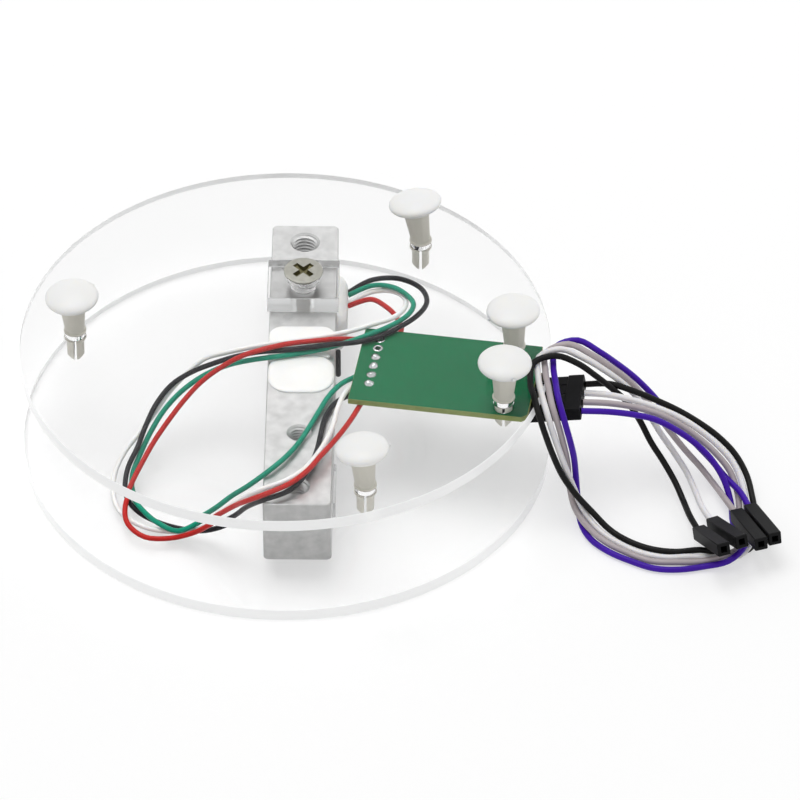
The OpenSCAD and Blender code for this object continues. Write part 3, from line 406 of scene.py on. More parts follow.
@dataclass(frozen=True)
class Metal:
    """Plated, soldered or etched metal: bright with faint stains.

    Attributes:
        name: Name of the material.
        low: Darker of its two shades.
        high: Paler of its two shades.
        roughness: Lowest roughness.
        stain: Size of the stains, in millimetres.
    """

    name: str
    low: str
    high: str
    roughness: float = 0.2
    stain: float = 0.8

    def make(self) -> bpy.types.Material:
        """Builds the material."""
        s = Shader(self.name)
        place = s.node("TexCoord")
        stain = s.node(
            "TexNoise", Vector=(place, "Object"), Scale=1 / (self.stain * MM), Detail=4.0
        )
        colour = s.node(
            "Mix",
            {"data_type": "RGBA"},
            i0=(stain, "Fac"),
            i6=linear(self.low),
            i7=linear(self.high),
        )
        gloss = s.node(
            "MapRange",
            Value=(stain, "Fac"),
            To_Min=self.roughness,
            To_Max=self.roughness + 0.15,
        )
        bump = s.node("Bump", Height=(stain, "Fac"), Distance=0.01 * MM, Strength=0.4)
        body = s.node(
            "BsdfPrincipled",
            Base_Color=(colour, 2),
            Metallic=1.0,
            Roughness=(gloss, "Result"),
            Normal=(bump, "Normal"),
        )
        return s.done((body, "BSDF"))


class Finishes:
    """Every finish of the object, each made once when it is first asked for."""

    RECIPES = {
        # Clear sheet with glossy faces
        "acrylic": CastAcrylic(),
        # Laser-cut edge of the sheet: a painted glow, standing in for the light the sheet carries
        # to its edge, makes it look white
        "cut_edge_painted_glow": Moulded("acrylic_cut_edge", "#F8F9F9", "#FEFEFE", 0.2, 1.0, 0.004, 0.0,
                            0.15, 1.49, 0.3, 0.22),
        # Sawn wall of the clear spacers: the bar shows through it, greyed, and a faint painted glow
        # lightens it
        "sawn_edge_painted_glow": Moulded("acrylic_sawn_edge", "#E6E8E8", "#F4F5F5", 0.12, 1.0, 0.004, 0.0,
                             0.7, 1.49, 0.2, 0.06),
        # Pale milled metal with a soft glint
        "aluminium": MilledAluminium(),
        # The bar's sawn ends: darker and rougher than its milled faces
        "sawn": MilledAluminium("sawn_aluminium", "#9A9A9A", "#D0D0CF", 0.45),
        # Natural nylon, injection moulded: waxy white with soft edges
        "nylon": Moulded("natural_nylon", "#F2F2F0", "#F9F9F7", 0.4, 0.5, 0.006, 0.5),
        # The same nylon on the stems: painted greyer for the shade under the head, on top of the
        # greyer look of thin nylon that light comes through; a faint painted glow as well
        "nylon_stem_painted_shade": Moulded(
            "natural_nylon_thin_painted_shade", "#D6D3C6", "#E2DFD4", 0.4, 0.5, 0.006, 0.0, 0.1, 1.53, 0.3, 0.05
        ),
        # Room-cured silicone, smeared on by hand: matt white with soft waves
        "silicone": Moulded("white_silicone", "#EFEFED", "#F5F5F3", 0.5, 1.5, 0.12, 0.3),
        # Glass-filled polyester, moulded: near-black with a satin face
        "black_plastic": Moulded(
            "black_polyester", "#09090A", "#101012", 0.5, 0.2, 0.004, shine=0.12
        ),
        # Moulded epoxy of chips: black, matt and grainy
        "epoxy": Moulded("black_epoxy", "#202022", "#2A2A2C", 0.6, 0.12, 0.01),
        # Green solder mask over copper: glassy with a faint shade of the tracks
        "mask": Moulded("green_solder_mask", "#00623A", "#006B42", 0.3, 1.2, 0.004, shine=0.2),
        # Sawn edge of glass-fibre laminate: yellowish and rough
        "laminate": Moulded("glass_fibre_laminate", "#7C8B45", "#97A45B", 0.6, 0.15, 0.02),
        # Fired ceramic body of chip resistors and capacitors: tan and smooth
        "ceramic": Moulded("fired_ceramic", "#8A6E4C", "#A3875F", 0.35, 0.3, 0.004),
        # Polyimide and constantan foil: amber with a metal glint
        "foil": Metal("gauge_foil", "#8C6A3A", "#AD8A54", 0.35, 0.4),
        # Tin solder, hand-soldered: bright with grey ripples
        "solder": Metal("tin_solder", "#A9ACAE", "#D9DBDC", 0.15, 0.5),
        # Tin-plated legs and ends of parts
        "tin": Metal("tin_plating", "#B8BABB", "#CDCFCF", 0.3, 0.5),
        # Gilt header pins
        "gilt": Metal("gilt_brass", "#C7A758", "#DCC078", 0.2, 0.6),
        # Zinc-plated steel screws: grey with olive stains
        "zinc": Metal("zinc_plated_steel", "#8F8E86", "#B9B8B0", 0.28, 0.9),
        # The pressed cross's faces: a darker olive brown than the head
        "recess": Metal("dark_olive_recess", "#5E5A42", "#817C5E", 0.35, 0.7),
        # Insulation of extruded PVC: even colour with a satin face
        "pvc_black": Moulded("pvc_black", "#141418", "#1D1D22", 0.4, 0.5, 0.003, shine=0.2),
        "pvc_green": Moulded("pvc_green", "#008568", "#069276", 0.4, 0.5, 0.003, shine=0.2),
        "pvc_white": Moulded("pvc_white", "#ECECEB", "#F3F3F2", 0.38, 0.5, 0.003, 0.15),
        "pvc_red": Moulded("pvc_red", "#B31813", "#BF211C", 0.4, 0.5, 0.003, shine=0.2),
        "ribbon_black": Moulded("ribbon_black", "#0C0B0B", "#141313", 0.4, 0.5, 0.003, shine=0.15),
        "ribbon_white": Moulded("ribbon_white", "#EDEBED", "#F4F2F4", 0.4, 0.5, 0.003, 0.15),
        "ribbon_grey": Moulded("ribbon_grey", "#ADA3A5", "#BAB0B2", 0.4, 0.5, 0.003),
        "ribbon_purple": Moulded("ribbon_purple", "#3C0C9B", "#4714B0", 0.4, 0.5, 0.003, shine=0.2),
    }

    def __init__(self) -> None:
        """Starts with no material made."""
        self.made: dict[str, bpy.types.Material] = {}

    def get(self, name: str) -> bpy.types.Material:
        """Returns one finish, making it the first time."""
        if name not in self.made:
            self.made[name] = self.RECIPES[name].make()
        return self.made[name]


# ---------------------------------------------------------------- mesh tools


class Form:
    """A mesh in the making, in millimetres, with named finishes on its faces."""

    def __init__(self, place: Matrix | None = None) -> None:
        """Starts an empty mesh whose parts are put at a place."""
        self.bm = bmesh.new()
        self.place = place or Matrix.Identity(4)

    def ring(self, points: Sequence[Point]) -> list[bmesh.types.BMVert]:
        """Adds one loop of vertices."""
        return [self.bm.verts.new(self.place @ mm(*p)) for p in points]

    def bridge(
        self, low: list[bmesh.types.BMVert], high: list[bmesh.types.BMVert], finish: int = 0
    ) -> None:
        """Joins two loops with faces; a loop of one vertex makes a fan.

        Args:
            low: First loop.
            high: Second loop.
            finish: Number of the finish on the new faces.
        """
        n = max(len(low), len(high))
        for k in range(n):
            j = (k + 1) % n
            if len(low) == 1:
                corners = (low[0], high[j], high[k])
            elif len(high) == 1:
                corners = (low[k], low[j], high[0])
            else:
                corners = (low[k], low[j], high[j], high[k])
            self.bm.faces.new(corners).material_index = finish

    def lathe(
        self,
        profile: Sequence[Flat],
        sides: int = 48,
        start: float = 0.0,
        finish: int = 0,
        shut: bool = False,
    ) -> "Form":
        """Adds a turned shape about the Z axis.

        Args:
            profile: Radius and height pairs from one end to the other.
            sides: Steps round the axis.
            start: Angle of the first step, in degrees.
            finish: Number of the finish.
            shut: True joins the last loop to the first one.

        Returns:
            This form.
        """
        loops = []
        for r, z in profile:
            count = 1 if r < 1e-6 else sides
            angles = [math.radians(start) + math.tau * k / sides for k in range(count)]
            loops.append(self.ring([(r * math.cos(a), r * math.sin(a), z) for a in angles]))
        for low, high in zip(loops, loops[1:]):
            self.bridge(low, high, finish)
        if shut:
            self.bridge(loops[-1], loops[0], finish)
        return self

    def slab(
        self,
        rim: Sequence[Flat],
        holes: Sequence[Sequence[Flat]],
        steps: Sequence[Flat],
        side_finish: int = 0,
        finish: int = 0,
    ) -> "Form":
        """Adds a flat sheet with shaped edges, cut by holes.

        Args:
            rim: Outer outline, anticlockwise.
            holes: Outlines of the holes, anticlockwise.
            steps: Inset and height pairs of the edge, bottom to top.
            side_finish: Number of the finish on the outer edge.
            finish: Number of the finish on the two faces and in the holes.

        Returns:
            This form.
        """
        edges: dict[int, list[bmesh.types.BMEdge]] = {0: [], 1: []}
        for loop, sign in [(rim, 1.0)] + [(h, -1.0) for h in holes]:
            rows = [
                self.ring([(x, y, z) for x, y in inset(loop, sign * step)])
                for step, z in steps
            ]
            for low, high in zip(rows, rows[1:]):
                self.bridge(low, high, side_finish if sign > 0 else finish)
            for end, row in ((0, rows[0]), (1, rows[-1])):
                for k, vert in enumerate(row):
                    pair = (vert, row[(k + 1) % len(row)])
                    edges[end].append(self.bm.edges.get(pair))
        for end in (0, 1):
            filled = bmesh.ops.triangle_fill(self.bm, edges=edges[end], use_beauty=True)
            for face in filled["geom"]:
                if isinstance(face, bmesh.types.BMFace):
                    face.material_index = finish
        return self

    def box(self, low: Point, high: Point, edge: float = 0.0, finish: int = 0) -> "Form":
        """Adds a block between two corners.

        Args:
            low: Lowest corner.
            high: Highest corner.
            edge: Width of the rounded edges.
            finish: Number of the finish.

        Returns:
            This form.
        """
        rim = [(low[0], low[1]), (high[0], low[1]), (high[0], high[1]), (low[0], high[1])]
        if edge:
            rim = rounded(rim, edge, 1)
            steps = [(edge, low[2]), (0.0, low[2] + edge), (0.0, high[2] - edge), (edge, high[2])]
        else:
            steps = [(0.0, low[2]), (0.0, high[2])]
        rows = [self.ring([(x, y, z) for x, y in inset(rim, i)]) for i, z in steps]
        for a, b in zip(rows, rows[1:]):
            self.bridge(a, b, finish)
        for row in (rows[0], rows[-1]):
            self.bm.faces.new(row).material_index = finish
        return self

    def thread(self, outer: float, inner: float, low: float, high: float, pitch: float,
               inward: bool) -> "Form":
        """Adds one screw thread as a wound ridge about the Z axis.

        Args:
            outer: Radius of the crests or, for a tapped hole, of the roots.
            inner: Radius of the other side of the ridge.
            low: Height of its lower end.
            high: Height of its upper end.
            pitch: Rise of one turn.
            inward: True for the thread of a tapped hole.

        Returns:
            This form.
        """
        base, crest = (outer + 0.04, inner) if inward else (inner - 0.04, outer)
        count = int((high - low) / pitch * 24)
        rows = []
        for k in range(count + 1):
            a = math.tau * k / 24
            z = low + pitch * k / 24
            rows.append(
                self.ring(
                    [
                        (r * math.cos(a), r * math.sin(a), z + h * pitch)
                        for r, h in ((base, -0.47), (crest, -0.06), (crest, 0.06), (base, 0.47))
                    ]
                )
            )
        for a, b in zip(rows, rows[1:]):
            self.bridge(a, b)
        self.bm.faces.new(rows[0])
        self.bm.faces.new(rows[-1])
        return self

    def mesh(self, name: str, angle: float = 35.0) -> bpy.types.Mesh:
        """Closes the form and returns it as a mesh with soft shading.

        Args:
            name: Name of the mesh.
            angle: Edges sharper than this stay sharp, in degrees.

        Returns:
            The mesh.
        """
        bmesh.ops.recalc_face_normals(self.bm, faces=self.bm.faces)
        made = bpy.data.meshes.new(name)
        self.bm.to_mesh(made)
        self.bm.free()
        soften(made, angle)
        return made


def soften(mesh: bpy.types.Mesh, angle: float) -> None:
    """Shades a mesh smooth except across edges sharper than the angle."""
    mesh.polygons.foreach_set("use_smooth", [True] * len(mesh.polygons))
    mesh.set_sharp_from_angle(angle=math.radians(angle))
    mesh.update()


def inset(loop: Sequence[Flat], distance: float) -> list[Flat]:
    """Moves an anticlockwise outline inwards by a distance."""
    if not distance:
        return list(loop)
    moved = []
    n = len(loop)
    for k, (x, y) in enumerate(loop):
        before, after = Vector(loop[k - 1]), Vector(loop[(k + 1) % n])
        one = (Vector((x, y)) - before).normalized()
        two = (after - Vector((x, y))).normalized()
        both = Vector((-one.y - two.y, one.x + two.x)).normalized()
        reach = distance / max(0.3, both.dot(Vector((-one.y, one.x))))
        moved.append((x + both.x * reach, y + both.y * reach))
    return moved


def circle(x: float, y: float, d: float, sides: int = 48) -> list[Flat]:
    """Returns a round outline of diameter d."""
    turns = [math.tau * k / sides for k in range(sides)]
    return [(x + d / 2 * math.cos(a), y + d / 2 * math.sin(a)) for a in turns]


def rounded(rim: Sequence[Flat], radius: float, steps: int = 6) -> list[Flat]:
    """Rounds the corners of a right-angled anticlockwise outline."""
    made = []
    n = len(rim)
    for k, corner in enumerate(rim):
        here = Vector(corner)
        one = (Vector(rim[k - 1]) - here).normalized() * radius
        two = (Vector(rim[(k + 1) % n]) - here).normalized() * radius
        middle = here + one + two
        for s in range(steps + 1):
            a = math.pi / 2 * s / steps
            p = middle - two * math.cos(a) - one * math.sin(a)
            made.append((p.x, p.y))
    return made


def carve(body: bpy.types.Mesh, tool: bpy.types.Mesh, angle: float = 35.0) -> bpy.types.Mesh:
    """Cuts one closed mesh out of another.

    Args:
        body: Mesh to cut.
        tool: Mesh that takes the material away.
        angle: Edges sharper than this stay sharp, in degrees.

    Returns:
        The cut mesh, under the body's name.
    """
    pair = [bpy.data.objects.new("cut", m) for m in (body, tool)]
    for item in pair:
        bpy.context.scene.collection.objects.link(item)
    change = pair[0].modifiers.new("cut", "BOOLEAN")
    change.operation = "DIFFERENCE"
    change.solver = "EXACT"
    change.object = pair[1]
    graph = bpy.context.evaluated_depsgraph_get()
    made = bpy.data.meshes.new_from_object(pair[0].evaluated_get(graph))
    name = body.name
    for item in pair:
        bpy.data.objects.remove(item)
    for old in (body, tool):
        bpy.data.meshes.remove(old)
    made.name = name
    soften(made, angle)
    return made


def joined(body: bpy.types.Mesh, *more: bpy.types.Mesh, angle: float = 35.0) -> bpy.types.Mesh:
    """Adds meshes to the first one.

    Args:
        body: Mesh that takes in the others.
        *more: Meshes to add; they are removed.
        angle: Edges sharper than this stay sharp, in degrees.

    Returns:
        The first mesh.
    """
    whole = bmesh.new()
    whole.from_mesh(body)
    for part in more:
        whole.from_mesh(part)
        bpy.data.meshes.remove(part)
    whole.to_mesh(body)
    whole.free()
    soften(body, angle)
    return body


@dataclass
class Bench:
    """Puts finished pieces into the scene and says what they are.

    Attributes:
        finishes: The object's finishes.
    """

    finishes: Finishes = field(default_factory=Finishes)

    def add(
        self,
        name: str,
        data: bpy.types.ID,
        finishes: Sequence[str],
        replaces: Sequence[str] = (),
        slot: str = "",
        layer: Layer = Layer.PART,
    ) -> bpy.types.Object:
        """Adds one piece.

        Args:
            name: The piece's own name.
            data: Its mesh or curve.
            finishes: Names of its finishes, in the order of their numbers.
            replaces: CAD nodes that the piece stands for.
            slot: Not used.
            layer: Part or studio.

        Returns:
            The new object.
        """
        made = bpy.data.objects.new(name, data)
        bpy.context.scene.collection.objects.link(made)
        for finish in finishes:
            data.materials.append(self.finishes.get(finish))
        if layer is Layer.STUDIO:
            return made
        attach(made, "root")
        if replaces:
            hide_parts(*replaces)
        LOG.info("piece %s", name)
        return made

    def dress(self, node: str, finish: str) -> None:
        """Gives a CAD node that stays one of the finishes."""
        piece = bpy.data.objects[node]
        piece.data.materials.clear()
        piece.data.materials.append(self.finishes.get(finish))
        LOG.info("node %s", node)


# ---------------------------------------------------------------- sub-assemblies


@dataclass
class Camera:
    """The camera at the photograph's viewing angle.

    Attributes:
        focal: Focal length in pixels of the square picture.
        distance: Distance from the origin, in millimetres.
        elevation: Height angle, in degrees.
        azimuth: Turn to the right, in degrees.
        centre: Picture place of the origin, in pixels.
    """

    focal: float = 7893.28
    distance: float = 1500.0
    elevation: float = 41.309
    azimuth: float = 0.677
    centre: Flat = (287.32, 440.42)

    def build(self) -> None:
        """Makes the camera and hands it to the scene."""
        el, az = math.radians(self.elevation), math.radians(self.azimuth)
        spot = self.distance * Vector(
            (math.cos(el) * math.sin(az), -math.cos(el) * math.cos(az), math.sin(el))
        )
        ahead = -spot.normalized()
        right = Vector((math.cos(az), math.sin(az), 0))
        up = right.cross(ahead)
        scale = self.distance / self.focal
        spot = spot - right * (self.centre[0] - PIXELS / 2) * scale
        spot = spot + up * (self.centre[1] - PIXELS / 2) * scale
        data = bpy.data.cameras.new("camera")
        data.sensor_width = 36.0
        data.lens = self.focal / PIXELS * 36.0
        data.clip_start, data.clip_end = 0.05, 20.0
        lens = bpy.data.objects.new("camera", data)
        lens.matrix_world = Matrix.Translation(spot * MM) @ Matrix(
            (right, up, -ahead)
        ).transposed().to_4x4()
        bpy.context.scene.collection.objects.link(lens)
        bpy.context.scene.camera = lens


@dataclass
class Wire:
    """One insulated wire along a route.

    Attributes:
        node: CAD node that it replaces.
        route: Its middle line.
        diameter: Its diameter.
        finish: Name of its finish.
        slot: Name of its material slot, handed to the bench.
    """

    node: str
    route: Route
    diameter: float
    finish: str
    slot: str

    def build(self, bench: Bench) -> bpy.types.Object:
        """Makes the round wire as one open curve."""
        curve = bpy.data.curves.new(self.node, "CURVE")
        curve.dimensions = "3D"
        curve.bevel_depth = self.diameter / 2 * MM
        curve.bevel_resolution = 4
        curve.resolution_u = 4
        curve.use_fill_caps = True
        spline = curve.splines.new("BEZIER")
        spline.bezier_points.add(len(self.route) - 1)
        places = [mm(*p) for p in self.route]
        for k, knot in enumerate(spline.bezier_points):
            lean = (places[min(k + 1, len(places) - 1)] - places[max(k - 1, 0)]) / 6
            knot.co = places[k]
            knot.handle_left, knot.handle_right = places[k] - lean, places[k] + lean
        return bench.add("wire_" + self.node, curve, [self.finish], [self.node], self.slot)

    def length(self) -> float:
        """Returns the length of the route in metres."""
        places = [mm(*p) for p in self.route]
        return sum((b - a).length for a, b in zip(places, places[1:]))


@dataclass
class Wires:
    """The four sensor wires and the four wires of the jumper lead.

    Attributes:
        sensor_d: Diameter of the sensor wires.
        jumper_d: Diameter of the jumper wires.
    """

    sensor_d: float = 1.0
    jumper_d: float = 1.2

    def build(self, bench: Bench, ends: dict[str, list[bpy.types.Object | str]]) -> None:
        """Makes every wire.

        Args:
            bench: Where pieces are added.
            ends: Not used.
        """
        sensor = {"black": SENSOR_BLACK, "green": SENSOR_GREEN, "white": SENSOR_WHITE,
                  "red": SENSOR_RED}
        for colour, route in sensor.items():
            wire = Wire("sensor_wire_" + colour, route, self.sensor_d, "pvc_" + colour,
                        colour + "_wire")
            wire.build(bench)
        jumper = {"black": JUMPER_BLACK, "white": JUMPER_WHITE, "grey": JUMPER_GREY,
                  "purple": JUMPER_PURPLE}
        for colour, route in jumper.items():
            wire = Wire("jumper_wire_" + colour, route, self.jumper_d, "ribbon_" + colour,
                        colour + "_wire")
            wire.build(bench)


@dataclass
class Plates:
    """The two clear plates and the two clear spacers.

    Attributes:
        d: Diameter of a plate.
        t: Thickness of a plate.
        edge: Width of the cut edge's tiny rounding.
        gap: Air between a spacer and its neighbours, which keeps the faces apart.
        weighing_mid: Middle of the weighing plate.
        base_mid: Middle of the base plate.
        base_z: Height of the base plate's lower face.
        bar_x: Place of the bar's middle line across.
        screws_y: Places of the pan screw and the base screw.
        spacer: Width, length and thickness of a spacer.
        feet: Places of the five foot holes.
    """

    d: float = 100.0
    t: float = 2.5
    edge: float = 0.1
    gap: float = 0.01
    weighing_mid: Flat = (0.03, -0.2)
    base_mid: Flat = (-0.15, -0.18)
    base_z: float = 22.2
    bar_x: float = 2.84
    screws_y: Flat = (-20.2, 19.8)
    spacer: Point = (13.6, 11.3, 3.5)
    feet: tuple[Flat, ...] = (
        (-39.8, 3.0), (25.0, 30.1), (42.9, -0.45), (40.93, -15.1), (15.5, -39.9)
    )

    def steps(self, low: float, high: float) -> list[Flat]:
        """Returns the edge steps of a sheet between two heights."""
        e = self.edge
        return [(e, low), (0.0, low + e), (0.0, high - e), (e, high)]

    def build(self, bench: Bench) -> None:
        """Makes the plates and the spacers."""
        base = Form().slab(
            circle(*self.base_mid, self.d, 256),
            [circle(self.bar_x, self.screws_y[1], 6.1, 64)]
            + [circle(x, y, 3.7) for x, y in self.feet],
            self.steps(self.base_z, self.base_z + self.t),
            1,
        )
        # Painted glow: the base plate's outer edge takes the glowing cut-edge finish
        bench.add(
            "base_plate_sheet", base.mesh("base_plate_sheet"), ["acrylic", "cut_edge_painted_glow"],
            ["base_plate"], "clear_acrylic",
        )
        pan = Form().slab(
            circle(*self.weighing_mid, self.d, 256),
            [circle(self.bar_x, self.screws_y[0], 4.6, 64)],
            self.steps(0.0, self.t),
            1,
        ).mesh("weighing_plate_sheet")
        sink = Form(move(self.bar_x, self.screws_y[0], 0)).lathe(
            [(0, -0.5), (4.1, -0.5), (3.825, 0.0), (2.25, 1.85), (0, 1.85)], 64
        ).mesh("sink")
        # Painted glow: the weighing plate's outer edge takes the glowing cut-edge finish
        bench.add(
            "weighing_plate_sheet", carve(pan, sink), ["acrylic", "cut_edge_painted_glow"], ["weighing_plate"],
            "clear_acrylic",
        )
        w, l, t = self.spacer
        for name, y, z in (
            ("pan_spacer", self.screws_y[0], self.t),
            ("base_spacer", self.screws_y[1], self.base_z - t),
        ):
            rim = [
                (self.bar_x - w / 2, y - l / 2), (self.bar_x + w / 2, y - l / 2),
                (self.bar_x + w / 2, y + l / 2), (self.bar_x - w / 2, y + l / 2),
            ]
            block = Form().slab(
                rounded(rim, 0.15, 2),
                [circle(self.bar_x, y, 4.6)],
                self.steps(z + self.gap, z + t - self.gap),
                1,
            )
            # Painted glow: the spacers' walls take the sawn-edge finish with its faint glow
            bench.add(name + "_block", block.mesh(name + "_block"), ["acrylic", "sawn_edge_painted_glow"],
                      [name], "clear_acrylic")


@dataclass
class LoadCell:
    """The bar with its tapped bores, the two screws, the sealant and the gauges.

    Attributes:
        middle: Place of the bar's middle, at its lower face.
        size: Width, length and height of the bar.
        corner: Radius of the bar's upright corners.
        edge: Width of the broken edges.
        bores: Distance from the middle, thread and core diameter, and pitch.
        mouth: Width of the bores' chamfer.
        upright: Faces whose normal rises less than this count as upright.
        end_band: Depth of the sawn band at each end.
        window: Diameter, distance from the middle and slot height of the cut-out.
        base_top: Height of the base plate's upper face.
        screw_x: Place of both screws across.
        shank: Radius and height pairs of a screw's lower end.
    """

    middle: Point = (2.84, -0.2, 6.0)
    size: Point = (12.7, 80.0, 12.7)
    corner: float = 1.0
    edge: float = 0.18
    bores: tuple[tuple[float, float, float, float], ...] = (
        (35.0, 5.0, 4.2, 0.8), (20.0, 4.0, 3.4, 0.7), (-20.0, 4.0, 3.4, 0.7),
        (-35.0, 4.0, 3.4, 0.7),
    )
    mouth: float = 0.35
    upright: float = 0.3
    end_band: float = 0.6
    window: Point = (9.6, 6.0, 4.0)
    base_top: float = 24.7
    screw_x: float = 2.84
    shank: tuple[Flat, ...] = ((0, -14.0), (1.3, -14.0), (1.66, -13.6))

    def build(self, bench: Bench) -> None:
        """Makes every piece of the load cell."""
        bench.add("bar", self.bar(), ["aluminium", "sawn"], ["load_cell_bar"], "bare_aluminium")
        bench.add("base_screw_dressed", self.base_screw(), ["zinc", "recess"],
                  ["base_screw"], "zinc_steel")
        bench.add("pan_screw_dressed", self.pan_screw(), ["zinc", "recess"],
                  ["pan_screw"], "zinc_steel")
        for name, z, way in (("sealant_top", 18.7, 1), ("sealant_bottom", 6.0, -1)):
            bench.add(name + "_pad", self.sealant(name, z, way), ["silicone"], [name],
                      "white_silicone")
        bench.add("sealant_side_pad", self.side_sealant(), ["silicone"], ["sealant_side"],
                  "white_silicone")
        bench.add("gauge_lead_dressed", self.lead(), ["pvc_black"], ["gauge_lead"], "black_wire")
        bench.dress("strain_gauges", "foil")

    def bar(self) -> bpy.types.Mesh:
        """Makes the bar with rounded ends, cut-out, chamfers and threads."""
        w, l, h = self.size
        rim = rounded([(-w / 2, -l / 2), (w / 2, -l / 2), (w / 2, l / 2), (-w / 2, l / 2)],
                      self.corner, 8)
        e = self.edge
        place = move(*self.middle)
        solid = Form(place).slab(
            rim,
            [circle(0, y, d, 48) for y, d, _, _ in self.bores],
            [(e, 0), (0, e), (0, h - e), (e, h)],
        ).mesh("bar")
        d, off, slot = self.window
        tool = Form(place)
        outline = []
        half = math.asin(slot / d)
        for k in range(49):
            a = half + (math.tau - 2 * half) * k / 48
            outline.append((d / 2 * math.cos(a) - off, d / 2 * math.sin(a)))
        outline += [(-x, -y) for x, y in outline]
        rows = [
            tool.ring([(x, y, h / 2 + z) for y, z in outline]) for x in (-w, w)
        ]
        tool.bridge(rows[0], rows[1])
        for row in rows:
            tool.bm.faces.new(row)
        solid = carve(solid, tool.mesh("tool"))
        cones = Form(place)
        for y, d, _, _ in self.bores:
            for z, way in ((0, 1), (h, -1)):
                cones.place = place @ move(0, y, z)
                c = self.mouth
                cones.lathe(
                    [(0, -way * 0.5), (d / 2 + c, -way * 0.5), (d / 2 + c, 0),
                     (d / 2 - 0.05, way * (c + 0.05)), (0, way * (c + 0.05))], 48
                )
        solid = carve(solid, cones.mesh("cones"))
        ridges = [
            Form(place @ move(0, y, 0))
            .thread(d / 2, core / 2, 0.5, h - 0.5, pitch, True)
            .mesh("ridge", 20)
            for y, d, core, pitch in self.bores
        ]
        solid = joined(solid, *ridges, angle=25)
        # Upright faces at the two ends are sawn, all others are milled
        for face in solid.polygons:
            if abs(face.normal.z) < self.upright:
                far = abs(face.center.y / MM - self.middle[1])
                face.material_index = 1 if far > l / 2 - self.end_band else 0
        return solid

    def crossed(self, head: bpy.types.Mesh, place: Matrix) -> bpy.types.Mesh:
        """Presses the tapered cross into a screw head.

        Args:
            head: The screw.
            place: Frame of the head's crown.

        Returns:
            The screw with its recess.
        """
        for a in (45, 135):
            tool = Form(place @ turn("Z", a))
            rows = [
                tool.ring([(-x, -y, z), (x, -y, z), (x, y, z), (-x, y, z)])
                for x, y, z in ((1.3, 0.36, -0.8), (2.1, 0.5, -0.45), (2.5, 0.66, 0.5))
            ]
            tool.bridge(rows[0], rows[1], 1)
            tool.bridge(rows[1], rows[2], 1)
            tool.bm.faces.new(rows[0]).material_index = 1
            tool.bm.faces.new(rows[2]).material_index = 1
            head = carve(head, tool.mesh("arm"), 25)
        return head

    def base_screw(self) -> bpy.types.Mesh:
        """Makes the countersunk screw that sits on the rim of the base plate's hole."""
        place = move(self.screw_x, 19.8, self.base_top)
        head = Form(place).lathe(
            [*self.shank, (1.66, -1.4), (3.66, 0.62), (3.72, 0.7), (3.72, 0.86), (3.64, 0.95),
             (3.3, 1.0), (2.2, 1.05), (0, 1.07)], 64
        ).mesh("base_screw_dressed")
        head = self.crossed(head, place @ move(0, 0, 1.07))
        return self.threaded(head, place, -13.4, -1.6)

    def pan_screw(self) -> bpy.types.Mesh:
        """Makes the countersunk screw under the weighing plate."""
        place = move(self.screw_x, -20.2, 0) @ turn("X", 180)
        head = Form(place).lathe(
            [*self.shank, (1.66, -1.84), (3.5, -0.12), (3.6, -0.05), (3.5, 0.0), (0, 0.0)], 64
        ).mesh("pan_screw_dressed")
        head = self.crossed(head, place)
        return self.threaded(head, place, -13.4, -2.6)

    def threaded(
        self, screw: bpy.types.Mesh, place: Matrix, low: float, high: float
    ) -> bpy.types.Mesh:
        """Winds an M4 thread round a screw's shank."""
        ridge = Form(place).thread(1.98, 1.66, low, high, 0.7, False).mesh("ridge", 20)
        return joined(screw, ridge, angle=25)

    def sealant(self, name: str, z: float, way: int) -> bpy.types.Mesh:
        """Makes two domed pads joined by a thin neck.

        Args:
            name: Name of the CAD node.
            z: Height of the bar's face.
            way: 1 for the upper face, -1 for the lower one.

        Returns:
            The mesh.
        """
        pad = Form()
        x0, x1 = self.middle[0] - 6.25, self.middle[0] + 6.25
        for y0, y1, r in ((-9.0, 1.65, 4.2), (3.35, 9.9, 2.6)):
            rim = rounded([(x0, y0), (x1, y0), (x1, y1), (x0, y1)], r, 10)
            steps = [(0.0, 0.0), (0.02, 0.12), (0.15, 0.28), (0.45, 0.4), (1.0, 0.47),
                     (1.8, 0.5)]
            pad.slab(rim, [], [(i, z + way * t) for i, t in steps])
        pad.slab(
            rounded([(x0 + 1, 1.0), (x1 - 1, 1.0), (x1 - 1, 4.0), (x0 + 1, 4.0)], 0.4, 3),
            [], [(0.0, z), (0.0, z + way * 0.2), (0.15, z + way * 0.25)],
        )
        return pad.mesh(name, 50)

    def side_sealant(self) -> bpy.types.Mesh:
        """Makes the smeared blob where the wires leave the bar's side."""
        x0 = self.middle[0] + self.size[0] / 2
        pad = Form(Matrix.Translation(mm(x0, 20.7, 13.0)) @ turn("Y", 90))
        rim = rounded([(-4.8, -7.1), (4.8, -7.1), (4.8, 7.1), (-4.8, 7.1)], 2.4, 6)
        steps = [(0.0, 0.0), (0.05, 0.3), (0.5, 1.0), (1.1, 1.5), (1.9, 1.85), (3.0, 2.0)]
        pad.slab(rim, [], steps)
        return pad.mesh("sealant_side_pad", 60)

    def lead(self) -> bpy.types.Mesh:
        """Makes the short gauge lead on the bar's side, domed at both ends."""
        x = self.middle[0] + self.size[0] / 2 + 0.5
        return Form(move(x, 4.2, 11.5)).lathe(
            [(0, 0), (0.3, 0.03), (0.46, 0.15), (0.5, 0.35), (0.5, 6.05), (0.46, 6.25),
             (0.3, 6.37), (0, 6.4)], 24
        ).mesh("gauge_lead_dressed")


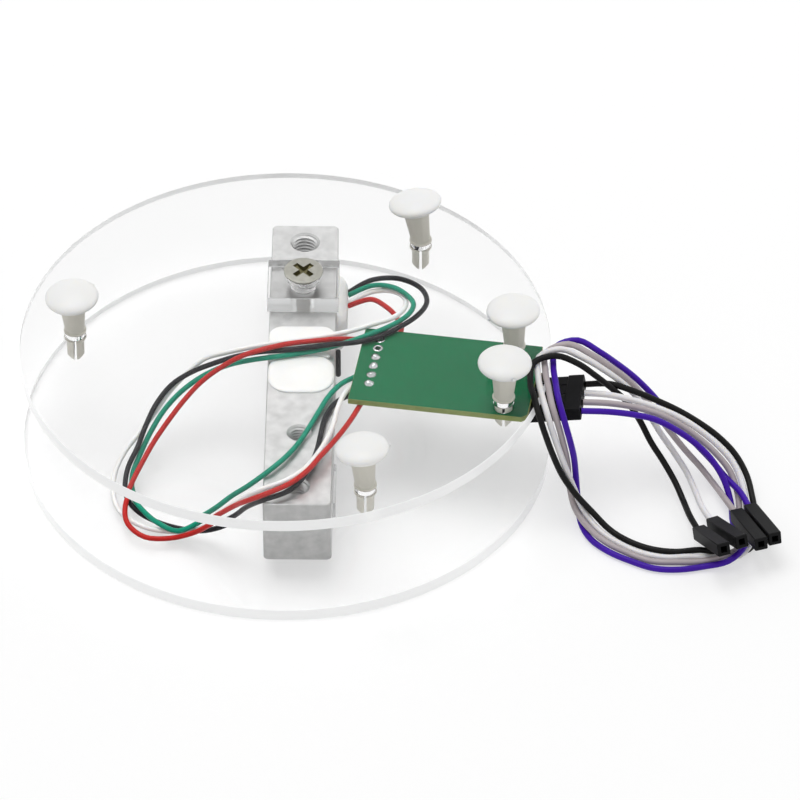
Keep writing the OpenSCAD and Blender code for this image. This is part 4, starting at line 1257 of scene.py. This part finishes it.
@dataclass
class Feet:
    """The five push-in feet, three on the base plate and two on the board.

    Attributes:
        spots: Node, place, lean and thickness under the collar of each foot.
        top: Height of the base plate's upper face.
    """

    spots: tuple[tuple[str, Flat, Flat, float], ...] = (
        ("foot_left", (-39.8, 3.0), (-3, 0), 2.5),
        ("foot_far", (25.0, 30.1), (-8, 10), 2.5),
        ("board_foot_far", (42.9, -0.45), (-2, 3), 5.0),
        ("board_foot_near", (40.93, -15.1), (1, 1), 5.0),
        ("foot_near", (15.5, -39.9), (-4, 5), 2.5),
    )
    top: float = 24.7

    def build(self, bench: Bench) -> None:
        """Makes every foot."""
        for k, (node, spot, lean, grip) in enumerate(self.spots):
            # Painted shade: stems, shanks and collars take a greyer copy of the nylon for the
            # head's shade
            bench.add(
                node + "_moulded", self.foot(node, spot, lean, grip, 40.0 + 83.0 * k),
                ["nylon", "nylon_stem_painted_shade"], [node], "white_nylon",
            )

    def foot(
        self, node: str, spot: Flat, lean: Flat, grip: float, gate: float
    ) -> bpy.types.Mesh:
        """Makes one foot.

        Args:
            node: CAD node that it stands for.
            spot: Place on the base plate.
            lean: Lean to the right and away, in degrees.
            grip: Thickness of what the shank passes through.
            gate: Angle of the gate mark on the rim, in degrees.

        Returns:
            The mesh.
        """
        seat = move(spot[0], spot[1], self.top)
        shank = Form(seat).lathe(
            [(0, -7.9), (0.7, -7.9), (0.95, -7.8), (1.63, -6.7), (1.65, -grip - 1.25),
             (1.7, -grip - 1.1), (2.13, -grip - 0.2), (2.13, -grip - 0.12),
             (1.65, -grip - 0.04), (1.65, 0.3), (0, 0.3)], 40, 0.0, 1,
        ).mesh(node)
        split = Form(seat).box((-0.25, -4.0, -9.0), (0.25, 4.0, -1.2)).mesh("split")
        shank = carve(shank, split)
        upper = Form(
            seat @ move(0, 0, 0.3) @ turn("Y", lean[0]) @ turn("X", -lean[1]) @ move(0, 0, -0.3)
        )
        # Octagonal stem with softened corners, widening to the head
        rows = []
        for z, d in ((0.25, 3.7), (0.6, 3.8), (4.0, 4.5), (6.8, 5.1), (7.4, 5.7)):
            points = []
            for corner in range(8):
                for side in (-1, 1):
                    a = math.radians(45 * corner + side * 17.5)
                    points.append((d / 2 * math.cos(a), d / 2 * math.sin(a), z))
            rows.append(upper.ring(points))
        # Painted shade: the stem's faces take the greyer nylon copy
        for a, b in zip(rows, rows[1:]):
            upper.bridge(a, b, 1)
        upper.bm.faces.new(rows[0])
        upper.bm.faces.new(rows[-1])
        profile = [(0, 6.85), (2.6, 6.86), (3.8, 6.95)]
        for a in range(-50, 91, 10):
            r, t = math.cos(math.radians(a)), math.sin(math.radians(a))
            profile.append((5.05 * r, 8.2 + 1.7 * t))
        profile[-1] = (0, 9.9)
        upper.lathe(profile, 72)
        # Gate mark: a small cold nub on the rim
        upper.place = upper.place @ turn("Z", gate) @ move(4.95, 0, 8.1)
        upper.lathe([(0, -0.3), (0.35, -0.22), (0.42, 0.05), (0.3, 0.28), (0, 0.32)], 12)
        head = upper.mesh("head", 40)
        collar = Form(seat).lathe(
            [(0, 0), (2.08, 0.0), (2.14, 0.06), (2.12, 0.24), (1.9, 0.38), (0, 0.4)], 48, 0.0, 1
        ).mesh("collar")
        shank.name = node + "_moulded"
        return joined(shank, head, collar, angle=40)


@dataclass
class Board:
    """The converter board with its parts, joints and header.

    Attributes:
        size: Length, width and thickness.
        place: Matrix of the board's own frame, at its lower face.
        pads_x: Place of the pad row along the board.
        pad_y0: Place of the first pad across the board.
        pitch: Distance of neighbouring pads and pins.
        header_x: Place of the pin row along the board.
        header_y: Middle of the pin row across the board.
        feet: Places of the two foot holes.
    """

    size: Point = (33.8, 20.6, 1.2)
    place: Matrix = field(default_factory=board_frame)
    pads_x: float = -13.7
    pad_y0: float = 7.4
    pitch: float = 2.54
    header_x: float = 10.9
    header_y: float = -0.6
    feet: tuple[Flat, ...] = ((42.9, -0.45), (40.93, -15.1))

    def build(self, bench: Bench) -> None:
        """Makes the board and all that is soldered to it."""
        bench.add("board_laminate", self.laminate(), ["laminate", "mask"], ["circuit_board"],
                  "green_board")
        bench.add("solder_dressed", self.joints(), ["solder", "gilt"], ["solder_joints"], "solder")
        bench.add("chip_dressed", self.chip(), ["epoxy", "tin"], ["converter_chip"],
                  "black_plastic")
        bench.add("transistor_dressed", self.transistor(), ["epoxy", "tin"],
                  ["regulator_transistor"], "black_plastic")
        bench.add("chip_parts_dressed", self.small(), ["ceramic", "tin"], ["small_components"],
                  "ceramic_parts")
        bench.add("header_strip_dressed", self.strip(), ["black_plastic"], ["header_strip"],
                  "black_plastic")
        bench.dress("header_pins", "gilt")

    def pin_y(self, n: int) -> float:
        """Returns the place of a header pin across the board."""
        return (1.5 - n) * self.pitch + self.header_y

    def laminate(self) -> bpy.types.Mesh:
        """Makes the sheet with its nicked corner and drilled holes."""
        l, w, t = self.size
        rim = [(-l / 2, -w / 2), (l / 2 - 1.0, -w / 2), (l / 2, -w / 2 + 1.0), (l / 2, w / 2),
               (-l / 2, w / 2)]
        back = self.place.inverted()
        holes = []
        for x, y in self.feet:
            spot = back @ mm(x, y, 20.3) / MM
            holes.append(circle(spot.x, spot.y, 3.5, 40))
        for n in range(6):
            holes.append(circle(self.pads_x, self.pad_y0 - n * self.pitch, 1.0, 24))
        for n in range(4):
            holes.append(circle(self.header_x, self.pin_y(n), 1.0, 24))
        e = 0.05
        steps = [(e, 0.0), (0.0, e), (0.0, t - e), (e, t)]
        return Form(self.place).slab(rim, holes, steps, 0, 1).mesh("board_laminate")

    def joints(self) -> bpy.types.Mesh:
        """Makes two open pad rings and eight hand-made solder domes."""
        form = Form(self.place)
        t = self.size[2]
        base = self.place
        for n in range(2):
            form.place = base @ move(self.pads_x, self.pad_y0 - n * self.pitch, t)
            form.lathe([(0.5, 0.0), (0.93, 0.0), (0.93, 0.06), (0.8, 0.11), (0.58, 0.11),
                        (0.5, 0.05)], 32, 0.0, 0, True)
        for n in range(2, 6):
            form.place = base @ move(self.pads_x, self.pad_y0 - n * self.pitch, t)
            self.dome(form, n, 0.5, 0.3)
        for n in range(4):
            form.place = base @ move(self.header_x, self.pin_y(n), t)
            self.dome(form, n + 7, 0.5, 0.55)
        return form.mesh("solder_dressed", 60)

    def dome(self, form: Form, seed: int, height: float, top: float) -> None:
        """Adds one uneven solder dome that hugs the wire or pin end.

        Args:
            form: Form to add to.
            seed: Number that shapes the dome.
            height: Height of the dome.
            top: Radius where the end of the wire stands out.
        """
        loops = []
        for r, z in ((0.95, 0.0), (0.93, 0.05), (0.82, 0.16), (0.66, 0.28), (0.52, 0.4),
                     (0.42, 0.5)):
            points = []
            for k in range(28):
                a = math.tau * k / 28
                wave = 1 + 0.09 * math.sin(2 * a + seed * 1.7) + 0.05 * math.sin(5 * a + seed)
                lift = 1 + 0.18 * math.sin(a + seed * 2.3)
                rr = max(top if z > 0.45 else 0.0, r * wave)
                points.append((min(rr, 0.95) * math.cos(a), min(rr, 0.95) * math.sin(a),
                               z * lift * height / 0.5))
            loops.append(form.ring(points))
        for low, high in zip(loops, loops[1:]):
            form.bridge(low, high)
        form.bm.faces.new(loops[0])
        tip = form.ring([(0.05 * math.sin(seed), 0.05, height * 1.05)])
        form.bridge(loops[-1], tip)

    def chip(self) -> bpy.types.Mesh:
        """Makes the sixteen-legged chip under the board."""
        base = self.place @ move(-1.5, -1.0, 0) @ turn("X", 180)
        form = Form(base).box((-5.0, -1.95, 0.15), (5.0, 1.95, 1.55), 0.12)
        form.place = base @ move(-4.2, -1.2, 1.55)
        form.lathe([(0.35, 0.0), (0.33, -0.06), (0, -0.08)], 20)
        form.place = base
        for n in range(8):
            x = (n - 3.5) * 1.27
            for side in (-1, 1):
                # Gull-wing leg: shoulder, knee and foot
                path = [(1.9, 0.85), (2.15, 0.85), (2.3, 0.7), (2.4, 0.15), (2.5, 0.06),
                        (2.62, 0.06)]
                rows = [
                    form.ring(
                        [(x - 0.2, side * y, z - 0.06), (x + 0.2, side * y, z - 0.06),
                         (x + 0.2, side * y, z + 0.09), (x - 0.2, side * y, z + 0.09)]
                    )
                    for y, z in path
                ]
                for a, b in zip(rows, rows[1:]):
                    form.bridge(a, b, 1)
                form.bm.faces.new(rows[0]).material_index = 1
                form.bm.faces.new(rows[-1]).material_index = 1
        return form.mesh("chip_dressed")

    def transistor(self) -> bpy.types.Mesh:
        """Makes the small three-legged regulator transistor."""
        base = self.place @ move(7, 6.2, 0) @ turn("X", 180)
        form = Form(base).box((-1.45, -0.65, 0.1), (1.45, 0.65, 1.1), 0.1)
        for x, side in ((-0.95, -1), (0.95, -1), (0.0, 1)):
            form.box((x - 0.2, min(side * 0.55, side * 1.12), 0.0),
                     (x + 0.2, max(side * 0.55, side * 1.12), 0.15), 0.03, 1)
        return form.mesh("transistor_dressed")

    def small(self) -> bpy.types.Mesh:
        """Makes the chip resistors and capacitors with their tinned ends."""
        form = Form(self.place @ turn("X", 180))
        spots = [(-8, 7), (-5, 7), (-2, 7), (1, 7), (-8, -7.5), (-5, -7.5), (-2, -7.5),
                 (1, -7.5), (4, -7.5)]
        for x, y in spots:
            y = -y
            form.box((x - 0.7, y - 0.57, 0.02), (x + 0.7, y + 0.57, 0.56), 0.03)
            for end in (-1, 1):
                inner, outer = x + end * 0.62, x + end * 1.0
                form.box((min(inner, outer), y - 0.6, 0.0), (max(inner, outer), y + 0.6, 0.6),
                         0.06, 1)
        return form.mesh("chip_parts_dressed")

    def strip(self) -> bpy.types.Mesh:
        """Makes the header's black strip, waisted between its pins."""
        form = Form(self.place)
        outline = []
        for n in range(4):
            y = self.pin_y(n)
            outline += [(y + 1.25, 0.85), (y + 0.85, 1.25), (y - 0.85, 1.25), (y - 1.25, 0.85)]
        rim = [(self.header_x + x, y) for y, x in reversed(outline)]
        rim += [(self.header_x - x, y) for y, x in outline]
        holes = []
        for n in range(4):
            y = self.pin_y(n)
            holes.append([(self.header_x + a * 0.32, y + b * 0.32)
                          for a, b in ((-1, -1), (1, -1), (1, 1), (-1, 1))])
        return form.slab(rim, holes, [(0.08, -2.5), (0.0, -2.42), (0.0, 0.0)]).mesh(
            "header_strip_dressed"
        )


@dataclass
class Housings:
    """The four-way and the four single push-on housings.

    Attributes:
        size: Length, width of one way, and height.
        pitch: Distance of neighbouring ways.
        four_way_w: Width of the four-way housing.
        board: Matrix of the board's own frame.
        singles: Colour, wire end, heading and lift of each single housing.
    """

    size: Point = (14.0, 2.5, 2.5)
    pitch: float = 2.54
    four_way_w: float = 10.1
    board: Matrix = field(default_factory=board_frame)
    singles: tuple[tuple[str, Flat, float, float], ...] = (
        ("black", (77.7, -27.8), -70, 27),
        ("white", (80.3, -25.3), -66.5, 25),
        ("grey", (84.8, -22.9), -71.5, 17),
        ("purple", (87.4, -21.4), -71.5, 17),
    )

    def build(self, bench: Bench) -> dict[str, list[bpy.types.Object | str]]:
        """Makes the housings and returns the plug pieces of each wire."""
        ends: dict[str, list[bpy.types.Object | str]] = {}
        for colour, spot, heading, lift in self.singles:
            place = (
                move(spot[0], spot[1], 1.25 * math.cos(math.radians(lift)) + 1.45)
                @ turn("Z", heading)
                @ turn("Y", -lift)
            )
            piece = bench.add(
                "single_plug_" + colour, self.single(place, colour), ["black_plastic"],
                ["single_housing_" + colour], "black_plastic",
            )
            ends[colour] = [piece]
        four = bench.add("four_way_plug", self.four_way(), ["black_plastic"],
                         ["four_way_housing"], "black_plastic")
        for node in ("four_way_contacts", "single_contacts"):
            bench.dress(node, "gilt")
        ends["black"] += [four, "four_way_contacts", "single_contacts"]
        return ends

    def single(self, place: Matrix, colour: str) -> bpy.types.Mesh:
        """Makes one single housing with its latch window.

        Args:
            place: Its frame, X from the wire end to the mouth.
            colour: Colour of its wire.

        Returns:
            The mesh.
        """
        l, w, h = self.size
        body = Form(place).box((0, -w / 2, -h / 2), (l, w / 2, h / 2), 0.14).mesh(
            "single_plug_" + colour
        )
        tool = Form(place)
        tool.box((-1, -0.6, -0.6), (l + 1, 0.6, 0.6))
        body = carve(body, tool.mesh("bore"))
        tool = Form(place)
        tool.box((7.2, -0.62, -2.0), (9.6, 0.62, -0.1))
        body = carve(body, tool.mesh("window"))
        tongue = Form(place)
        tongue.box((8.0, -0.5, -0.95), (9.7, 0.5, -0.55), 0.08)
        return joined(body, tongue.mesh("tongue"))

    def four_way(self) -> bpy.types.Mesh:
        """Makes the four-way housing, from its mouths to its wire end."""
        l, _, h = self.size
        place = (
            self.board @ move(10.9, -0.6, -2.9) @ turn("Z", 2.5) @ turn("Y", -10)
            @ move(1.4, 0, 0)
        )
        half = self.four_way_w / 2
        body = Form(place).box((0, -half, -h / 2), (l, half, h / 2), 0.14).mesh("four_way_plug")
        tool = Form(place)
        step = self.pitch * math.cos(math.radians(2.5))
        for n in range(4):
            y = (1.5 - n) * step
            tool.box((-1, y - 0.6, -0.6), (l + 1, y + 0.6, 0.6))
        body = carve(body, tool.mesh("bores"))
        tool = Form(place)
        for n in range(4):
            y = (1.5 - n) * step
            tool.box((4.0, y - 0.62, 0.1), (6.6, y + 0.62, 2.0))
        for n in range(3):
            y = (1 - n) * step
            tool.box((-0.5, y - 0.12, h / 2 - 0.12), (10.8, y + 0.12, h))
            tool.box((-0.5, y - 0.12, -h), (l + 0.5, y + 0.12, -h / 2 + 0.12))
        body = carve(body, tool.mesh("windows"))
        extra = Form(place)
        extra.box((l - 3, -half + 0.02, h / 2 - 0.3), (l - 0.02, half - 0.02, h / 2 + 0.25), 0.1)
        for n in range(4):
            y = (1.5 - n) * step
            extra.box((4.9, y - 0.5, 0.55), (6.7, y + 0.5, 0.95), 0.08)
        return joined(body, extra.mesh("extra"))


@dataclass
class Studio:
    """Pale floor, white surroundings and soft lamps.

    Attributes:
        world: Level of the light from all round.
        key: Power of the large lamp, in watts.
        fill: Power of the side lamp, in watts.
        reach: Half the width of the floor.
        glow: Level of white that the floor shows.
        share: Share of that white in what is seen of the floor.
    """

    world: float = 0.55
    key: float = 3.8
    fill: float = 0.8
    reach: float = 1500.0
    glow: float = 1.2
    share: float = 0.45

    def build(self, bench: Bench) -> None:
        """Makes the floor, the world and the lamps."""
        scene = bpy.context.scene
        scene.view_settings.view_transform = "Standard"
        r = self.reach
        floor = Form().slab(
            [(-r, -r), (r, -r), (r, r), (-r, r)], [], [(0.0, -1.0), (0.0, -0.05)]
        ).mesh("floor")
        floor.materials.append(self.floor_paint())
        bench.add("floor", floor, [], layer=Layer.STUDIO)
        self.surroundings(scene)
        self.lamp("key_lamp", (-150, 150, 1000), 600, self.key)
        self.lamp("fill_lamp", (700, 200, 600), 600, self.fill)

    def seen(self, s: Shader) -> tuple[bpy.types.Node, str]:
        """Returns 1 for rays that show the background and 0 for the others."""
        path = s.node("LightPath")
        one = s.node(
            "Math", {"operation": "MAXIMUM"}, i0=(path, "Is Camera Ray"), i1=(path, "Is Glossy Ray")
        )
        two = s.node(
            "Math", {"operation": "MAXIMUM"}, i0=(one, "Value"), i1=(path, "Is Transmission Ray")
        )
        return (two, "Value")

    def floor_paint(self) -> bpy.types.Material:
        """Builds the floor: pale and plain, shown white but for its shadows."""
        s = Shader("pale_floor")
        diffuse = s.node("BsdfDiffuse", Color=linear("#F4F4F4"))
        glow = s.node("Emission", Color=linear("#FFFFFF"), Strength=self.glow)
        share = s.node("Math", {"operation": "MULTIPLY"}, i0=self.seen(s), i1=self.share)
        both = s.node("MixShader", i0=(share, "Value"), i1=(diffuse, "BSDF"), i2=(glow, "Emission"))
        return s.done((both, "Shader"))

    def surroundings(self, scene: bpy.types.Scene) -> None:
        """Lights the scene from all round and shows white behind it."""
        name = "white_surroundings"
        s = Shader(name, bpy.data.worlds.new(name))
        level = s.node("MapRange", Value=self.seen(s), To_Min=self.world, To_Max=1.0)
        sky = s.node("Background", Color=linear("#FFFFFF"), Strength=(level, "Result"))
        s.node("OutputWorld", Surface=(sky, "Background"))
        scene.world = s.owner

    def lamp(self, name: str, spot: Point, size: float, power: float) -> None:
        """Adds a square soft lamp that faces the object.

        Args:
            name: Name of the lamp.
            spot: Its place.
            size: Its side.
            power: Its power, in watts.
        """
        data = bpy.data.lights.new(name, "AREA")
        data.energy = power
        data.shape = "SQUARE"
        data.size = size * MM
        lamp = bpy.data.objects.new(name, data)
        lamp.location = mm(*spot)
        lamp.rotation_euler = (mm(25, 0, 10) - lamp.location).to_track_quat("-Z", "Y").to_euler()
        bpy.context.scene.collection.objects.link(lamp)


def main() -> None:
    """Builds the camera, the cords and every sub-assembly in order."""
    logging.basicConfig(level=logging.INFO, format="%(name)s %(message)s")
    Camera().build()
    bench = Bench()
    ends = Housings().build(bench)
    Wires().build(bench, ends)
    Plates().build(bench)
    LoadCell().build(bench)
    Board().build(bench)
    Feet().build(bench)
    Studio().build(bench)


if __name__ == "__main__":
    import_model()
    main()
